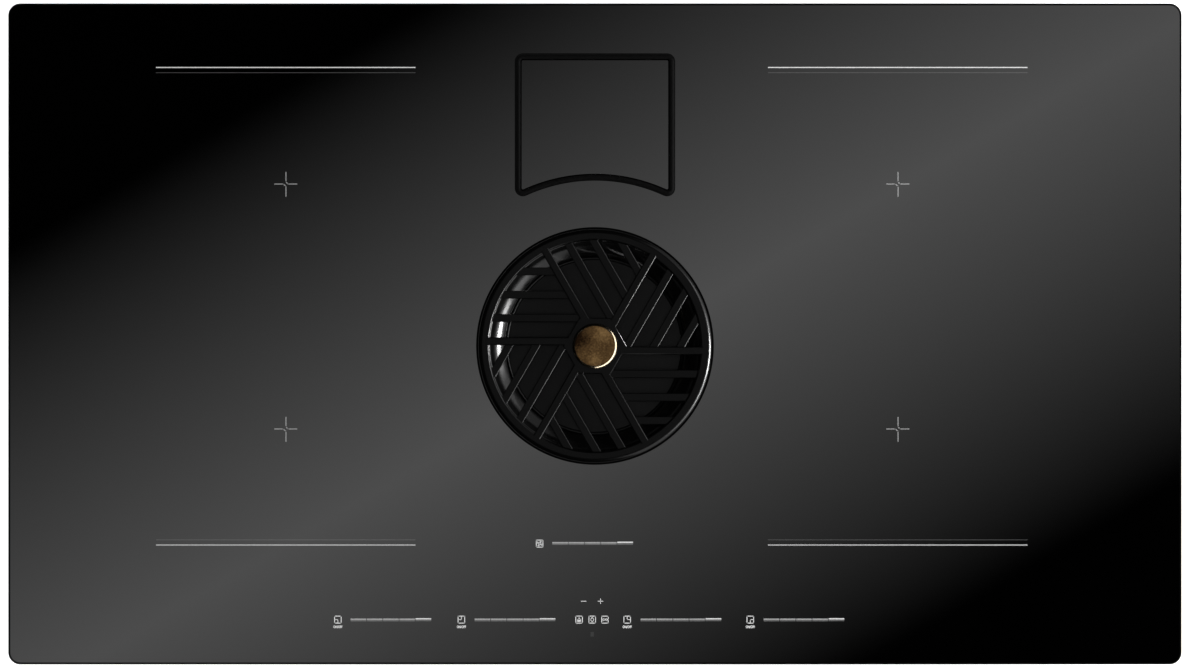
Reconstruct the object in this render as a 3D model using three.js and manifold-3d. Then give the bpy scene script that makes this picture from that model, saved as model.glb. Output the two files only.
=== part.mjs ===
// Built-in induction cooktop with a downdraft extractor in its middle and a kitchen scale behind it.
// Millimetres. +X is to the user's right, +Y to the back, +Z up. The origin lies under the middle of the
// glass, at the level of the lowest face of the air module.
import * as THREE from 'three';
import { mergeVertices } from 'three/addons/utils/BufferGeometryUtils.js';
import Module from 'manifold-3d';

const wasm = await Module();
wasm.setup();

// ---- Driving dimensions ----------------------------------------------------------------------------

// glass and worktop level
const HOB_WIDTH = 900;
const HOB_DEPTH = 507;
const GLASS_TOP = 216;
const GLASS_THICKNESS = 4;
const GLASS_CORNER = 9.2;
const GLASS_BEVEL = 1.2;
const GLASS_UNDER = GLASS_TOP - GLASS_THICKNESS;
const RIM_SEAL_INSET = 2;
const RIM_SEAL_THICKNESS = 2.5;
const RIM_SEAL_WIDTH = 9;

// sheet-metal base pan that fills the worktop cut-out
const PAN_WIDTH = 862;
const PAN_DEPTH = 472;
const PAN_CORNER = 6;
const PAN_FLOOR = 150;
const PAN_SHEET = 1.2;
const PAN_FLANGE = 6;
const PAN_INSIDE = PAN_FLOOR + PAN_SHEET;

// inlet in the middle of the hob
const INLET_Y = -9.2;
const GLASS_HOLE_RADIUS = 84.4;
const COLLAR_SEAL_THICKNESS = 0.5;
const FLANGE_RADIUS = 90.9;
const FLANGE_THICKNESS = 1;
const FLANGE_FOOT = GLASS_TOP + COLLAR_SEAL_THICKNESS;
const SEAT_LEVEL = FLANGE_FOOT + FLANGE_THICKNESS;
const NECK_RADIUS = 82.9;
const MOUTH_RADIUS = 81;
const BELL_RADIUS = 80.3;
const BELL_TOP = GLASS_TOP - 5;
const BELL_ARC = 20;
const BELL_TILT = THREE.MathUtils.degToRad(6.9);
const THROAT_RADIUS = 69;
const THROAT_ROUND = 1.5;
const COLLAR_WALL = 2;
const COLLAR_BOTTOM = 140;
const LEDGE_WIDTH = 7;

// cast grille
const GRILLE_TOP = GLASS_TOP + 6;
const GRILLE_RING_RADIUS = 89.9;
const GRILLE_RING_TOP = GRILLE_TOP - 0.65;
const RING_OUTER_ROUND = 2.4;
const RING_INNER_ROUND = 0.9;
const CUSHION_THICKNESS = 0.6;
const SLAT_TOP = GRILLE_TOP - 2;
const BAR_BOTTOM = GRILLE_TOP - 5;
const BAR_WIDTH = 6.1;
const BAR_CHAMFER = 1.1;
const SECTORS = 6;
const RIB_OFFSET = 3.6;
const SLAT_PITCH = 17.85;
const SLATS = 3;
const HUB_APOTHEM = 21.2;

// brass knob
const KNOB_RADIUS = 17.3;
const KNOB_NECK_RADIUS = 12;
const KNOB_NECK_HEIGHT = 2.5;
const KNOB_HEAD_HEIGHT = 6.5;
const KNOB_ROUND = 2.2;
const KNOB_DISH = 0.25;

// grease filter, a drum that stands on the ledge
const FILTER_RADIUS = 67.3;
const FILTER_TOP = 203;
const FILTER_WALL = 1.5;
const MESH_THICKNESS = 2;
const PULL_RADIUS = 15;

// weighing platform behind the inlet
const SCALE_HALF_WIDTH = 56.7;
const SCALE_REAR = 210.4;
const SCALE_FRONT_RADIUS = 131.6;
const SCALE_CORNER = 1.4;
const GASKET_WIDTH = 4.4;
const GASKET_TOP = GLASS_TOP + 0.8;
const SCALE_MIDDLE = 165;

// four cooking zones
const ZONE_LEFT = -237.2;
const ZONE_RIGHT = 232.3;
const ZONE_REAR = 115;
const ZONE_FRONT = -72.9;
const COIL_WIDTH = 186;
const COIL_DEPTH = 176;
const BRIDGE_TOP = 193;
const BRIDGE_WIDTH = 206;
const BRIDGE_DEPTH = 372;
const BRIDGE_Y = 21;

// cooling fans beside the rear zones
const FAN_X = 388;
const FAN_Y = 120;
const FAN_FOOT = PAN_INSIDE + 0.2;
const FAN_HEIGHT = 30;

// air module below the pan
const TUB_LEFT = -125;
const TUB_RIGHT = 85;
const TUB_FRONT = -140;
const TUB_REAR = 125;
const TUB_TOP = 148;
const TUB_CORNER = 14;
const MODULE_WALL = 3;
const BLOWER_X = 200;
const BLOWER_Y = -10;
const SCROLL_TOP = 88;
const SCROLL_START_RADIUS = 101;
const SCROLL_END_RADIUS = 130;
const SCROLL_REAR = 150;
const SPIGOT_WIDTH = 222;
const SPIGOT_HEIGHT = 89;
const SPIGOT_END = 236;
const IMPELLER_RADIUS = 90;
const IMPELLER_EYE = 62;
const BLADES = 24;

// terminal box under the pan's left rear corner
const TERMINAL_X = -350;
const TERMINAL_Y = 190;
const TERMINAL_WIDTH = 100;
const TERMINAL_DEPTH = 70;
const TERMINAL_FOOT = 108;

const GAP = 0.3;
const TOUCH = 0.2;
const ROUND = 40;
const COARSE = 24;
const SMALL = 12;

// ---- Materials -------------------------------------------------------------------------------------

function finish(color, roughness, metalness) {
  return new THREE.MeshStandardMaterial({ color, roughness, metalness });
}
const BLACK_GLASS = () => finish(0x0b0b0c, 0.08, 0);
const CAST_IRON = () => finish(0x141414, 0.45, 0.3);
const BLACK_ENAMEL = () => finish(0x0a0a0a, 0.15, 0);
const BRASS = () => finish(0x8c6b39, 0.4, 1);
const RUBBER = () => finish(0x0c0c0c, 0.7, 0);
const SILICONE = () => finish(0x2b2b2b, 0.6, 0);
const FOAM = () => finish(0x2e2e30, 0.95, 0);
const GALVANISED = () => finish(0xb4b8bb, 0.45, 0.9);
const STEEL = () => finish(0x9a9da0, 0.35, 0.9);
const ALUMINIUM = () => finish(0xc2c4c6, 0.4, 0.9);
const COPPER = () => finish(0xa9683f, 0.4, 0.9);
const MINERAL_MAT = () => finish(0xd9d6cc, 0.95, 0);
const COIL_PLASTIC = () => finish(0x24282b, 0.6, 0);
const BOARD = () => finish(0x1f5a3a, 0.5, 0);
const BLACK_PLASTIC = () => finish(0x17181a, 0.55, 0);
const GREY_PLASTIC = () => finish(0x4a4d50, 0.55, 0);

// ---- Solids ----------------------------------------------------------------------------------------

// A closed geometry as a solid, turned the right way out where its outline ran the other way.
function solid(geometry) {
  const bare = geometry.clone();
  bare.deleteAttribute('normal');
  bare.deleteAttribute('uv');
  const merged = mergeVertices(bare, 1e-3);
  const corners = merged.getIndex().array;
  const positions = merged.getAttribute('position').array;
  const faces = [];
  let volume = 0;
  for (let i = 0; i < corners.length; i += 3) {
    const [a, b, c] = [corners[i], corners[i + 1], corners[i + 2]];
    if (a === b || b === c || c === a) continue;
    faces.push(a, b, c);
    const p = new THREE.Vector3().fromArray(positions, 3 * a);
    const q = new THREE.Vector3().fromArray(positions, 3 * b);
    const r = new THREE.Vector3().fromArray(positions, 3 * c);
    volume += p.dot(q.cross(r));
  }
  if (volume < 0) faces.reverse();
  return new wasm.Manifold(new wasm.Mesh({
    numProp: 3,
    vertProperties: Float32Array.from(positions),
    triVerts: Uint32Array.from(faces),
  }));
}

const join = (first, ...others) => others.reduce((whole, piece) => whole.add(piece), first);
const cut = (first, ...tools) => tools.reduce((whole, tool) => whole.subtract(tool), first);

// A block between two corners, and one that is centred in plan and may be turned about its own middle.
function block(x0, x1, y0, y1, z0, z1) {
  const geometry = new THREE.BoxGeometry(x1 - x0, y1 - y0, z1 - z0);
  geometry.translate((x0 + x1) / 2, (y0 + y1) / 2, (z0 + z1) / 2);
  return solid(geometry);
}
function centredBlock(x, y, width, depth, z0, z1) {
  return block(x - width / 2, x + width / 2, y - depth / 2, y + depth / 2, z0, z1);
}

// An outline in plan, between two levels.
function slab(shape, z0, z1) {
  const geometry = new THREE.ExtrudeGeometry(shape, { depth: z1 - z0, bevelEnabled: false });
  geometry.translate(0, 0, z0);
  return solid(geometry);
}

// A profile of [radius, level] pairs turned about the vertical line through x, y.
function turned(profile, x = 0, y = 0, segments = ROUND) {
  const geometry = new THREE.LatheGeometry(profile.map(([r, z]) => new THREE.Vector2(r, z)), segments);
  geometry.rotateX(Math.PI / 2);
  geometry.translate(x, y, 0);
  return solid(geometry);
}

// A ring of rectangular section, and a plain round bar.
function ring(inner, outer, z0, z1, x = 0, y = 0, segments = ROUND) {
  return turned([[inner, z0], [outer, z0], [outer, z1], [inner, z1], [inner, z0]], x, y, segments);
}
function bar(radius, z0, z1, x = 0, y = 0, segments = SMALL) {
  return turned([[0, z0], [radius, z0], [radius, z1], [0, z1]], x, y, segments);
}

// Points along an arc, both ends included, and the same as [radius, level] pairs of a profile.
function arc(x, y, radius, from, to, steps) {
  return Array.from({ length: steps + 1 }, (_, i) => {
    const angle = from + (to - from) * i / steps;
    return new THREE.Vector2(x + radius * Math.cos(angle), y + radius * Math.sin(angle));
  });
}
const rounding = (...along) => arc(...along).map((point) => [point.x, point.y]);

function roundedRectangle(width, depth, radius, x = 0, y = 0, steps = 3) {
  const [w, d] = [width / 2 - radius, depth / 2 - radius];
  return new THREE.Shape([
    ...arc(x + w, y + d, radius, 0, Math.PI / 2, steps),
    ...arc(x - w, y + d, radius, Math.PI / 2, Math.PI, steps),
    ...arc(x - w, y - d, radius, Math.PI, 1.5 * Math.PI, steps),
    ...arc(x + w, y - d, radius, 1.5 * Math.PI, 2 * Math.PI, steps),
  ]);
}

// A block between two corners with its upright edges rounded.
function roundedBlock(x0, x1, y0, y1, z0, z1, radius) {
  return slab(roundedRectangle(x1 - x0, y1 - y0, radius, (x0 + x1) / 2, (y0 + y1) / 2), z0, z1);
}

const assembly = new THREE.Group();

// Adds a named piece; a solid that stands apart from the frame's origin is given its place here.
function add(name, piece, material, place = [0, 0, 0], turn = 0) {
  const { vertProperties, triVerts } = piece.getMesh();
  const geometry = new THREE.BufferGeometry();
  geometry.setAttribute('position', new THREE.BufferAttribute(vertProperties, 3));
  geometry.setIndex(new THREE.BufferAttribute(triVerts, 1));
  const mesh = new THREE.Mesh(geometry, material);
  mesh.name = name;
  mesh.position.set(...place);
  mesh.rotation.z = turn;
  assembly.add(mesh);
}

// ---- Glass top -------------------------------------------------------------------------------------

// The platform's outline, drawn larger all round by `grow`. Its front edge is an arc about the inlet.
function platformOutline(grow) {
  const w = SCALE_HALF_WIDTH + grow;
  const rear = SCALE_REAR + grow;
  const front = SCALE_FRONT_RADIUS - grow;
  const r = Math.max(SCALE_CORNER + grow, 1);
  const cornerX = w - r;
  const cornerRise = Math.sqrt((front + r) ** 2 - cornerX ** 2);
  const cornerY = INLET_Y + cornerRise;
  const lean = Math.atan2(cornerRise, cornerX);
  return new THREE.Shape([
    ...arc(cornerX, rear - r, r, 0, Math.PI / 2, 2),
    ...arc(-cornerX, rear - r, r, Math.PI / 2, Math.PI, 2),
    ...arc(-cornerX, cornerY, r, Math.PI, 2 * Math.PI - lean, 2),
    ...arc(0, INLET_Y, front, Math.PI - lean, lean, 10).slice(1, -1),
    ...arc(cornerX, cornerY, r, Math.PI + lean, 2 * Math.PI, 2),
  ]);
}

// The pane with its ground upper edge: extruded with a bevel at both ends, then cut flat underneath.
function glassTop() {
  const inset = 2 * GLASS_BEVEL;
  const face = roundedRectangle(HOB_WIDTH - inset, HOB_DEPTH - inset, GLASS_CORNER - GLASS_BEVEL);
  const pane = new THREE.ExtrudeGeometry(face, {
    depth: GLASS_THICKNESS - GLASS_BEVEL,
    bevelEnabled: true,
    bevelThickness: GLASS_BEVEL,
    bevelSize: GLASS_BEVEL,
    bevelSegments: 1,
  });
  pane.translate(0, 0, GLASS_UNDER);
  return cut(
    solid(pane),
    block(-HOB_WIDTH, HOB_WIDTH, -HOB_DEPTH, HOB_DEPTH, GLASS_UNDER - 2 * GLASS_BEVEL, GLASS_UNDER),
    bar(GLASS_HOLE_RADIUS, GLASS_UNDER - 1, GLASS_TOP + 1, 0, INLET_Y, ROUND),
    slab(platformOutline(GASKET_WIDTH + TOUCH), GLASS_UNDER - 1, GLASS_TOP + 1),
  );
}
add('glass_top', glassTop(), BLACK_GLASS());

// Foam tape under the rim: the face that the hob rests on.
function rimSeal() {
  const width = HOB_WIDTH - 2 * RIM_SEAL_INSET;
  const depth = HOB_DEPTH - 2 * RIM_SEAL_INSET;
  const corner = GLASS_CORNER - RIM_SEAL_INSET;
  const foot = GLASS_UNDER - RIM_SEAL_THICKNESS;
  const outline = roundedRectangle(width, depth, corner);
  const opening = roundedRectangle(width - 2 * RIM_SEAL_WIDTH, depth - 2 * RIM_SEAL_WIDTH, corner);
  return cut(slab(outline, foot, GLASS_UNDER), slab(opening, foot - 1, GLASS_TOP));
}
add('glass_rim_seal', rimSeal(), FOAM());

// ---- Base pan --------------------------------------------------------------------------------------

// Folded tray with an outward rim glued to the glass. Louvres under the fans let cool air in, slots in
// the side walls let it out, and holes take the throat and the supply wires.
function basePan() {
  const louvres = 4;
  const louvrePitch = 11;
  const louvreSize = [4, 44];
  const slotY = -60;
  const slotPitch = 16.5;
  const slotSize = [16, 6];
  const wireHole = [9, TERMINAL_X, TERMINAL_Y - 20];
  const tray = slab(roundedRectangle(PAN_WIDTH, PAN_DEPTH, PAN_CORNER), PAN_FLOOR, GLASS_UNDER);
  const inside = slab(
    roundedRectangle(PAN_WIDTH - 2 * PAN_SHEET, PAN_DEPTH - 2 * PAN_SHEET, PAN_CORNER - PAN_SHEET),
    PAN_INSIDE, GLASS_UNDER + 1,
  );
  const flange = slab(
    roundedRectangle(PAN_WIDTH + 2 * PAN_FLANGE, PAN_DEPTH + 2 * PAN_FLANGE, PAN_CORNER + PAN_FLANGE),
    GLASS_UNDER - PAN_SHEET, GLASS_UNDER,
  );
  const [holeFoot, holeTop] = [PAN_FLOOR - 1, PAN_INSIDE + 1];
  const holes = [
    bar(THROAT_RADIUS + 2 * COLLAR_WALL, holeFoot, holeTop, 0, INLET_Y, COARSE),
    bar(wireHole[0], holeFoot, holeTop, wireHole[1], wireHole[2]),
  ];
  for (const side of [-1, 1]) {
    for (let i = 0; i < louvres; i += 1) {
      const place = i - (louvres - 1) / 2;
      holes.push(centredBlock(side * FAN_X + place * louvrePitch, FAN_Y, ...louvreSize, holeFoot, holeTop));
      holes.push(centredBlock(side * PAN_WIDTH / 2, slotY + place * slotPitch, ...slotSize, 165, 195));
    }
  }
  return cut(join(tray, flange), inside, ...holes);
}
add('base_pan', basePan(), GALVANISED());

// Leaf spring on the pan's side wall, bowed outwards to grip the edge of the cut-out.
const SPRING_HEIGHT = 42;
const SPRING_WIDTH = 26;
const SPRING_FOOT = 162;
function fixingSpring() {
  const thickness = 0.8;
  const bow = 11;
  const tip = 5;
  const leaf = new THREE.Shape();
  leaf.moveTo(GAP, 0);
  leaf.lineTo(GAP, SPRING_HEIGHT);
  leaf.lineTo(GAP + thickness, SPRING_HEIGHT);
  leaf.lineTo(GAP + thickness, SPRING_HEIGHT - 9);
  leaf.quadraticCurveTo(bow, SPRING_HEIGHT / 2, tip, 4);
  leaf.lineTo(tip - thickness, 4);
  leaf.quadraticCurveTo(bow - 2 * thickness, SPRING_HEIGHT / 2, GAP + thickness, SPRING_HEIGHT - 13);
  leaf.lineTo(GAP + thickness, 0);
  leaf.closePath();
  const geometry = new THREE.ExtrudeGeometry(leaf, {
    depth: SPRING_WIDTH,
    bevelEnabled: false,
    curveSegments: 5,
  });
  geometry.rotateX(Math.PI / 2);
  geometry.translate(0, SPRING_WIDTH / 2, 0);
  return solid(geometry);
}
for (const [sideName, side] of [['left', -1], ['right', 1]]) {
  for (const [rowName, row] of [['front', -1], ['rear', 1]]) {
    const place = [side * PAN_WIDTH / 2, row * 150, SPRING_FOOT];
    add(`fixing_spring_${rowName}_${sideName}`, fixingSpring(), STEEL(), place, side < 0 ? Math.PI : 0);
  }
}

// ---- Inlet collar ----------------------------------------------------------------------------------

// Flat flange on the glass, a short neck, a convex bell that falls away over a small round into a straight
// throat, and a ledge at the foot for the filter.
function inletCollar() {
  const edge = 0.5;
  const outerThroat = THROAT_RADIUS + COLLAR_WALL;
  const ledge = THROAT_RADIUS - LEDGE_WIDTH;
  const upright = Math.PI / 2;
  const bellMiddle = BELL_RADIUS + BELL_ARC * Math.sin(BELL_TILT);
  const bellLevel = BELL_TOP - BELL_ARC * Math.cos(BELL_TILT);
  const roundReach = BELL_ARC - THROAT_ROUND;
  const roundMiddle = THROAT_RADIUS + THROAT_ROUND;
  const roundTilt = Math.asin((bellMiddle - roundMiddle) / roundReach);
  const roundLevel = bellLevel + roundReach * Math.cos(roundTilt);
  const underArc = BELL_ARC - COLLAR_WALL;
  const underTilt = Math.asin((bellMiddle - outerThroat) / underArc);
  const profile = [
    [FLANGE_RADIUS, SEAT_LEVEL - edge],
    [FLANGE_RADIUS - edge, SEAT_LEVEL],
    [MOUTH_RADIUS + edge, SEAT_LEVEL],
    [MOUTH_RADIUS, SEAT_LEVEL - edge],
    [MOUTH_RADIUS, BELL_TOP + edge],
    ...rounding(bellMiddle, bellLevel, BELL_ARC, upright + BELL_TILT, upright + roundTilt, 3),
    ...rounding(roundMiddle, roundLevel, THROAT_ROUND, upright + roundTilt, Math.PI, 2).slice(1),
    [THROAT_RADIUS, COLLAR_BOTTOM + COLLAR_WALL],
    [ledge, COLLAR_BOTTOM + COLLAR_WALL],
    [ledge, COLLAR_BOTTOM],
    [outerThroat, COLLAR_BOTTOM],
    ...rounding(bellMiddle, bellLevel, underArc, upright + underTilt, upright + BELL_TILT, 3),
    [NECK_RADIUS, BELL_TOP + edge],
    [NECK_RADIUS, FLANGE_FOOT],
    [FLANGE_RADIUS, FLANGE_FOOT],
  ];
  profile.push(profile[0]);
  return turned(profile, 0, INLET_Y);
}
add('inlet_collar', inletCollar(), BLACK_ENAMEL());
add('collar_seal', ring(
  GLASS_HOLE_RADIUS + 0.6, FLANGE_RADIUS - 0.6, GLASS_TOP, FLANGE_FOOT, 0, INLET_Y,
), SILICONE());
add('grille_cushion', ring(
  MOUTH_RADIUS + 2, MOUTH_RADIUS + 5, SEAT_LEVEL, SEAT_LEVEL + CUSHION_THICKNESS, 0, INLET_Y, COARSE,
), SILICONE());

// ---- Grille ----------------------------------------------------------------------------------------

const ringFoot = SEAT_LEVEL + CUSHION_THICKNESS + GAP;
const sector = 2 * Math.PI / SECTORS;

// A cast bar along +X with chamfered upper edges, its middle `offset` to the clockwise side.
function castBar(from, to, offset, top) {
  const half = BAR_WIDTH / 2;
  const draft = 0.5;
  const section = new THREE.Shape();
  section.moveTo(-half + draft, BAR_BOTTOM);
  section.lineTo(half - draft, BAR_BOTTOM);
  section.lineTo(half, top - BAR_CHAMFER);
  section.lineTo(half - BAR_CHAMFER, top);
  section.lineTo(-half + BAR_CHAMFER, top);
  section.lineTo(-half, top - BAR_CHAMFER);
  section.closePath();
  const geometry = new THREE.ExtrudeGeometry(section, { depth: to - from, bevelEnabled: false });
  geometry.rotateX(Math.PI / 2);
  geometry.rotateZ(Math.PI / 2);
  geometry.translate(from, -offset, 0);
  return geometry;
}

// Outer ring with a full round on its outside and a small one within.
function grilleRing() {
  const [outer, inner] = [GRILLE_RING_RADIUS - RING_OUTER_ROUND, MOUTH_RADIUS + RING_INNER_ROUND];
  const profile = [
    [MOUTH_RADIUS + GAP, ringFoot],
    [GRILLE_RING_RADIUS - 0.4, ringFoot],
    ...rounding(outer, GRILLE_RING_TOP - RING_OUTER_ROUND, RING_OUTER_ROUND, 0, Math.PI / 2, 3),
    ...rounding(inner, GRILLE_RING_TOP - RING_INNER_ROUND, RING_INNER_ROUND, Math.PI / 2, Math.PI, 1),
    [MOUTH_RADIUS, ringFoot + GAP],
  ];
  profile.push(profile[0]);
  return turned(profile);
}

// Hexagonal hub that carries the knob, its corners under the middles of the ribs' roots.
function grilleHub() {
  const edge = 1;
  const radius = HUB_APOTHEM / Math.cos(Math.PI / SECTORS);
  const profile = [
    [0, BAR_BOTTOM],
    [radius - edge, BAR_BOTTOM],
    [radius, GRILLE_TOP - edge],
    [radius - edge, GRILLE_TOP],
    [0, GRILLE_TOP],
  ];
  const hub = new THREE.LatheGeometry(profile.map(([r, z]) => new THREE.Vector2(r, z)), SECTORS);
  hub.rotateX(Math.PI / 2);
  hub.rotateZ(Math.PI / 2);
  return solid(hub);
}

// Pinwheel grille: each main rib carries three shorter slats parallel to it on its clockwise side, which
// run from the next rib out to the ring.
function grille() {
  const barEnd = MOUTH_RADIUS + 2;
  const pieces = [grilleRing(), grilleHub()];
  for (let k = 0; k < SECTORS; k += 1) {
    const bars = [castBar(0, barEnd, RIB_OFFSET, GRILLE_TOP)];
    for (let i = 1; i <= SLATS; i += 1) {
      const offset = RIB_OFFSET + i * SLAT_PITCH;
      const nextRib = offset / Math.tan(sector) - RIB_OFFSET / Math.sin(sector);
      bars.push(castBar(nextRib, Math.sqrt(barEnd ** 2 - offset ** 2), offset, SLAT_TOP));
    }
    for (const geometry of bars) {
      geometry.rotateZ(k * sector);
      pieces.push(solid(geometry));
    }
  }
  const seatClearance = ring(MOUTH_RADIUS - 0.8, FLANGE_RADIUS + 5, BAR_BOTTOM - 5, ringFoot);
  const screwHole = bar(2.6, BAR_BOTTOM - 1, GRILLE_TOP + 1);
  return cut(join(...pieces), seatClearance, screwHole);
}
add('grille', grille(), CAST_IRON(), [0, INLET_Y, 0]);

// Turned knob with a waist to grip under and a slightly dished top, held from below by a screw.
const knobUnder = GRILLE_TOP + KNOB_NECK_HEIGHT;
const knobTop = knobUnder + KNOB_HEAD_HEIGHT;
const threadRadius = 2.4;
const threadTop = GRILLE_TOP + 7;
const knob = turned([
  [0, GRILLE_TOP],
  [KNOB_NECK_RADIUS, GRILLE_TOP],
  [KNOB_NECK_RADIUS, knobUnder],
  [KNOB_RADIUS - 0.8, knobUnder],
  [KNOB_RADIUS, knobUnder + 0.8],
  ...rounding(KNOB_RADIUS - KNOB_ROUND, knobTop - KNOB_ROUND, KNOB_ROUND, 0, Math.PI / 2, 3),
  [0, knobTop - KNOB_DISH],
], 0, INLET_Y, 32);
add('grille_knob', cut(knob, bar(threadRadius, GRILLE_TOP - 1, threadTop, 0, INLET_Y)), BRASS());
add('knob_screw', join(
  bar(5, BAR_BOTTOM - 3, BAR_BOTTOM - GAP, 0, INLET_Y),
  bar(threadRadius - 0.4, BAR_BOTTOM - 1, threadTop - 1, 0, INLET_Y),
), STEEL());

// ---- Grease filter ---------------------------------------------------------------------------------

// Drum of folded black steel with a turned-in foot, a bead that carries the mesh, and a pull on top.
const filterFoot = COLLAR_BOTTOM + COLLAR_WALL + GAP;
const meshTop = FILTER_TOP - 1.5;
const meshFoot = meshTop - MESH_THICKNESS;
function filterFrame() {
  const inside = FILTER_RADIUS - FILTER_WALL;
  const footInside = FILTER_RADIUS - 8;
  const beadWidth = 2.5;
  const edge = 0.7;
  const profile = [
    [footInside, filterFoot],
    [FILTER_RADIUS, filterFoot],
    [FILTER_RADIUS, FILTER_TOP - edge],
    [FILTER_RADIUS - edge, FILTER_TOP],
    [inside, FILTER_TOP - edge],
    [inside, meshFoot - GAP],
    [inside - beadWidth, meshFoot - GAP],
    [inside - beadWidth, meshFoot - FILTER_WALL],
    [inside, meshFoot - FILTER_WALL - beadWidth],
    [inside, filterFoot + FILTER_WALL],
    [footInside, filterFoot + FILTER_WALL],
  ];
  profile.push(profile[0]);
  return turned(profile, 0, INLET_Y, COARSE);
}
add('filter_frame', filterFrame(), BLACK_ENAMEL());
const meshRadius = FILTER_RADIUS - FILTER_WALL - GAP;
add('filter_mesh', bar(meshRadius, meshFoot, meshTop, 0, INLET_Y, COARSE), BLACK_ENAMEL());
add('filter_handle', turned([
  [0, meshTop],
  [PULL_RADIUS - 6, meshTop],
  [PULL_RADIUS - 7, meshTop + 3.5],
  [PULL_RADIUS - 1.5, meshTop + 4.2],
  [PULL_RADIUS, meshTop + 5.5],
  [PULL_RADIUS - 1, meshTop + 7],
  [0, meshTop + 7.5],
], 0, INLET_Y, SMALL), BLACK_PLASTIC());

// ---- Kitchen scale ---------------------------------------------------------------------------------

add('scale_plate', slab(platformOutline(-0.15), GLASS_UNDER, GLASS_TOP), BLACK_GLASS());

// Rubber profile: a rounded neck in the slot, and a foot glued to the underside of the pane.
const gasketFoot = GLASS_UNDER - 2.5;
const gasketShoulder = GASKET_TOP - 0.5;
add('scale_gasket', cut(
  join(
    slab(platformOutline(GASKET_WIDTH), gasketFoot, gasketShoulder),
    slab(platformOutline(GASKET_WIDTH - 0.8), gasketShoulder, GASKET_TOP),
    slab(platformOutline(GASKET_WIDTH + 5), gasketFoot, GLASS_UNDER - GAP),
  ),
  slab(platformOutline(0.15), gasketFoot - 1, gasketShoulder),
  slab(platformOutline(0.8), gasketShoulder, GASKET_TOP + 1),
), RUBBER());

// Cast tray bonded under the plate, with a boss above the free end of the load cell.
const CELL_TOP = 201;
const CELL_SIZE = 12.7;
const CELL_LENGTH = 80;
const platformFoot = GLASS_UNDER - 3;
add('scale_platform', join(
  slab(platformOutline(-5), platformFoot, GLASS_UNDER),
  centredBlock(28, SCALE_MIDDLE, 16, 14, CELL_TOP + 0.6, platformFoot),
), ALUMINIUM());
const cellFoot = CELL_TOP - CELL_SIZE;
add('load_cell', cut(
  centredBlock(0, SCALE_MIDDLE, CELL_LENGTH, CELL_SIZE, cellFoot, CELL_TOP),
  centredBlock(0, SCALE_MIDDLE, 28, 2 * CELL_SIZE, cellFoot + 3, CELL_TOP - 3),
), ALUMINIUM());

// Sheet tub round the load cell: two feet on the pan's floor and a block under the cell's fixed end.
const scaleFloor = 184;
function scaleTub() {
  const rim = GLASS_UNDER - 2.8;
  const feet = [-40, 40].map(
    (x) => centredBlock(x, SCALE_MIDDLE, 20, 40, PAN_INSIDE + TOUCH, scaleFloor + 1),
  );
  const shell = cut(
    slab(platformOutline(GASKET_WIDTH + 4), scaleFloor, rim),
    slab(platformOutline(GASKET_WIDTH + 2.5), scaleFloor + 1.5, GLASS_UNDER),
  );
  const cellBlock = centredBlock(-32, SCALE_MIDDLE, 16, 18, scaleFloor + 1, cellFoot - TOUCH);
  return join(shell, ...feet, cellBlock);
}
add('scale_tub', scaleTub(), GALVANISED());

// ---- Induction coils -------------------------------------------------------------------------------

const FERRITES = 6;
const formerFoot = BRIDGE_TOP + TOUCH;
const formerTop = 205;
const windingTop = 208.5;

// Moulded spider: a thin dish, a middle boss with the sensor hole, and arms that hold the ferrite bars.
function coilFormer() {
  const sheet = 2;
  const bossRadius = 24;
  const sensorRadius = 9;
  const armLength = 58;
  const armWidth = 16;
  const dish = slab(roundedRectangle(COIL_WIDTH, COIL_DEPTH, 52), formerTop - sheet, formerTop);
  const arms = Array.from({ length: FERRITES }, (_, i) => {
    const arm = new THREE.BoxGeometry(armLength, armWidth, formerTop - formerFoot - 1);
    arm.translate(bossRadius + 1 + armLength / 2, 0, (formerTop + formerFoot - 1) / 2);
    arm.rotateZ(2 * Math.PI * (i + 0.5) / FERRITES);
    return solid(arm);
  });
  const boss = bar(bossRadius, formerFoot, windingTop);
  return cut(join(dish, boss, ...arms), bar(sensorRadius, formerFoot - 1, windingTop + 1));
}
const winding = cut(
  slab(roundedRectangle(COIL_WIDTH - 8, COIL_DEPTH - 8, 50), formerTop + TOUCH, windingTop),
  slab(roundedRectangle(58, 54, 25), formerTop - 1, windingTop + 1),
);
for (const [side, x] of [['left', ZONE_LEFT], ['right', ZONE_RIGHT]]) {
  for (const [row, y] of [['rear', ZONE_REAR], ['front', ZONE_FRONT]]) {
    add(`coil_former_${row}_${side}`, coilFormer(), COIL_PLASTIC(), [x, y, 0]);
    add(`coil_winding_${row}_${side}`, winding, COPPER(), [x, y, 0]);
  }
}

// ---- One set of power electronics on each side -----------------------------------------------------

const BOARD_LEVEL = 158;
const BOARD_TOP = BOARD_LEVEL + 1.6;

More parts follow.
